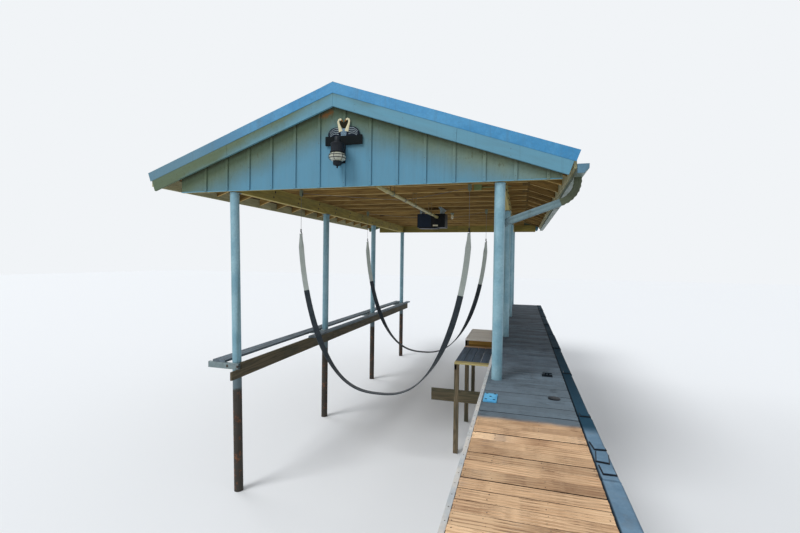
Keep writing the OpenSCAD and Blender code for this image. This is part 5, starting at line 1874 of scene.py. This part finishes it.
# Small fittings that lie on or hang from what carries them

fittingLook = {"lid": (-0.1, -0.99, 0.05, -0.71), "disc": (0.69, -0.62, 0.07),
               "plate": (0.6, 0.34, 0.74, 0.45),
               "holderX": -1.555, "boxX": (-0.57, -0.43), "conduitTo": 0.1}


def makeFittings():
    # a pale blue lid with a rim, four tabs and a hand hole
    x0, y0, x1, y1 = fittingLook["lid"]
    block((x0, y0, deckTop), (x1, y1, deckTop + 0.018))
    block((x0 + 0.018, y0 + 0.022, deckTop + 0.016), (x1 - 0.018, y1 - 0.022, deckTop + 0.025))
    corners = [(x, y) for y in (y0 + 0.035, y1 - 0.035) for x in (x0 + 0.03, x1 - 0.03)]
    for x, y in (*corners, ((x0 + x1) / 2, (y0 + y1) / 2)):
        block((x - 0.013, y - 0.01, deckTop + 0.02), (x + 0.013, y + 0.01, deckTop + 0.028), material=2)
    # a dark disc, and a flat plate with a low cleat, near the bank side
    x, y, radius = fittingLook["disc"]
    lathe([(radius, 0), (radius, 0.006), (radius * 0.8, 0.011), (radius * 0.3, 0.012)], (x, y, deckTop), 28,
          material=1)
    x0, y0, x1, y1 = fittingLook["plate"]
    block((x0, y0, deckTop), (x1, y1, deckTop + 0.007), material=3)
    for x in (x0 + 0.05, x1 - 0.05):
        block((x - 0.01, y0 + 0.045, deckTop + 0.006), (x + 0.01, y0 + 0.065, deckTop + 0.03), material=3)
    block((x0 + 0.008, y0 + 0.046, deckTop + 0.028), (x1 - 0.008, y0 + 0.064, deckTop + 0.042), material=3)
    addPiece("deckFittings", "coverBlue blackMetal capVinyl capVinyl", "", 0.003, 2)
    # bulb holder under a joist, and a junction box with its conduit
    holder = (fittingLook["holderX"], trussY(8) + timber / 2, beamTop)
    lathe([(0.018, -0.165), (0.032, -0.145), (0.036, -0.1), (0.026, -0.06), (0.02, -0.05)], holder, 20)
    lathe([(0.022, -0.052), (0.03, -0.04), (0.05, -0.012), (0.052, 0.0)], holder, 20, material=1)
    y, (x0, x1) = trussY(3), fittingLook["boxX"]
    block((x0, y - 0.045, beamTop + 0.01), (x1, y, beamTop + 0.11), material=2)
    tube([(x, y - 0.02, beamTop + 0.06) for x in (x1, -0.3, fittingLook["conduitTo"])], 0.008, 10,
         material=2)
    addPiece("ceilingFittings", "paleLabel cheekSteel boxGreen", smooth=35)


placeCamera(cameraLook)
lightScene(lightLook)
layFloor(lightLook)
print("camera, light and floor ready")
for stage, makers in (
        ("posts and beams", (makePosts, makeCapPlates, makeBeams)),
        ("roof", (makeTrusses, makeRoofBoards, makeRoofSheets, makeRidgeCap, makeRakeTrims, makeRakeBoards,
                  makeFascias)),
        ("gables, gutter, lamp and sign", (makeGables, makeGutter, makeDownspout, makeLamp, makeSign)),
        ("walkway", (makeDeckBoards, makeDeckFrame, makeDeckCap, makeEdgeStrip)),
        ("landing and catwalk", (makeLanding, makeCatwalk)),
        ("hoist and fittings", (makeDrive, makeCables, makeSlings, makeMotor, makeFittings))):
    for make in makers:
        make()
    print(stage, "ready")
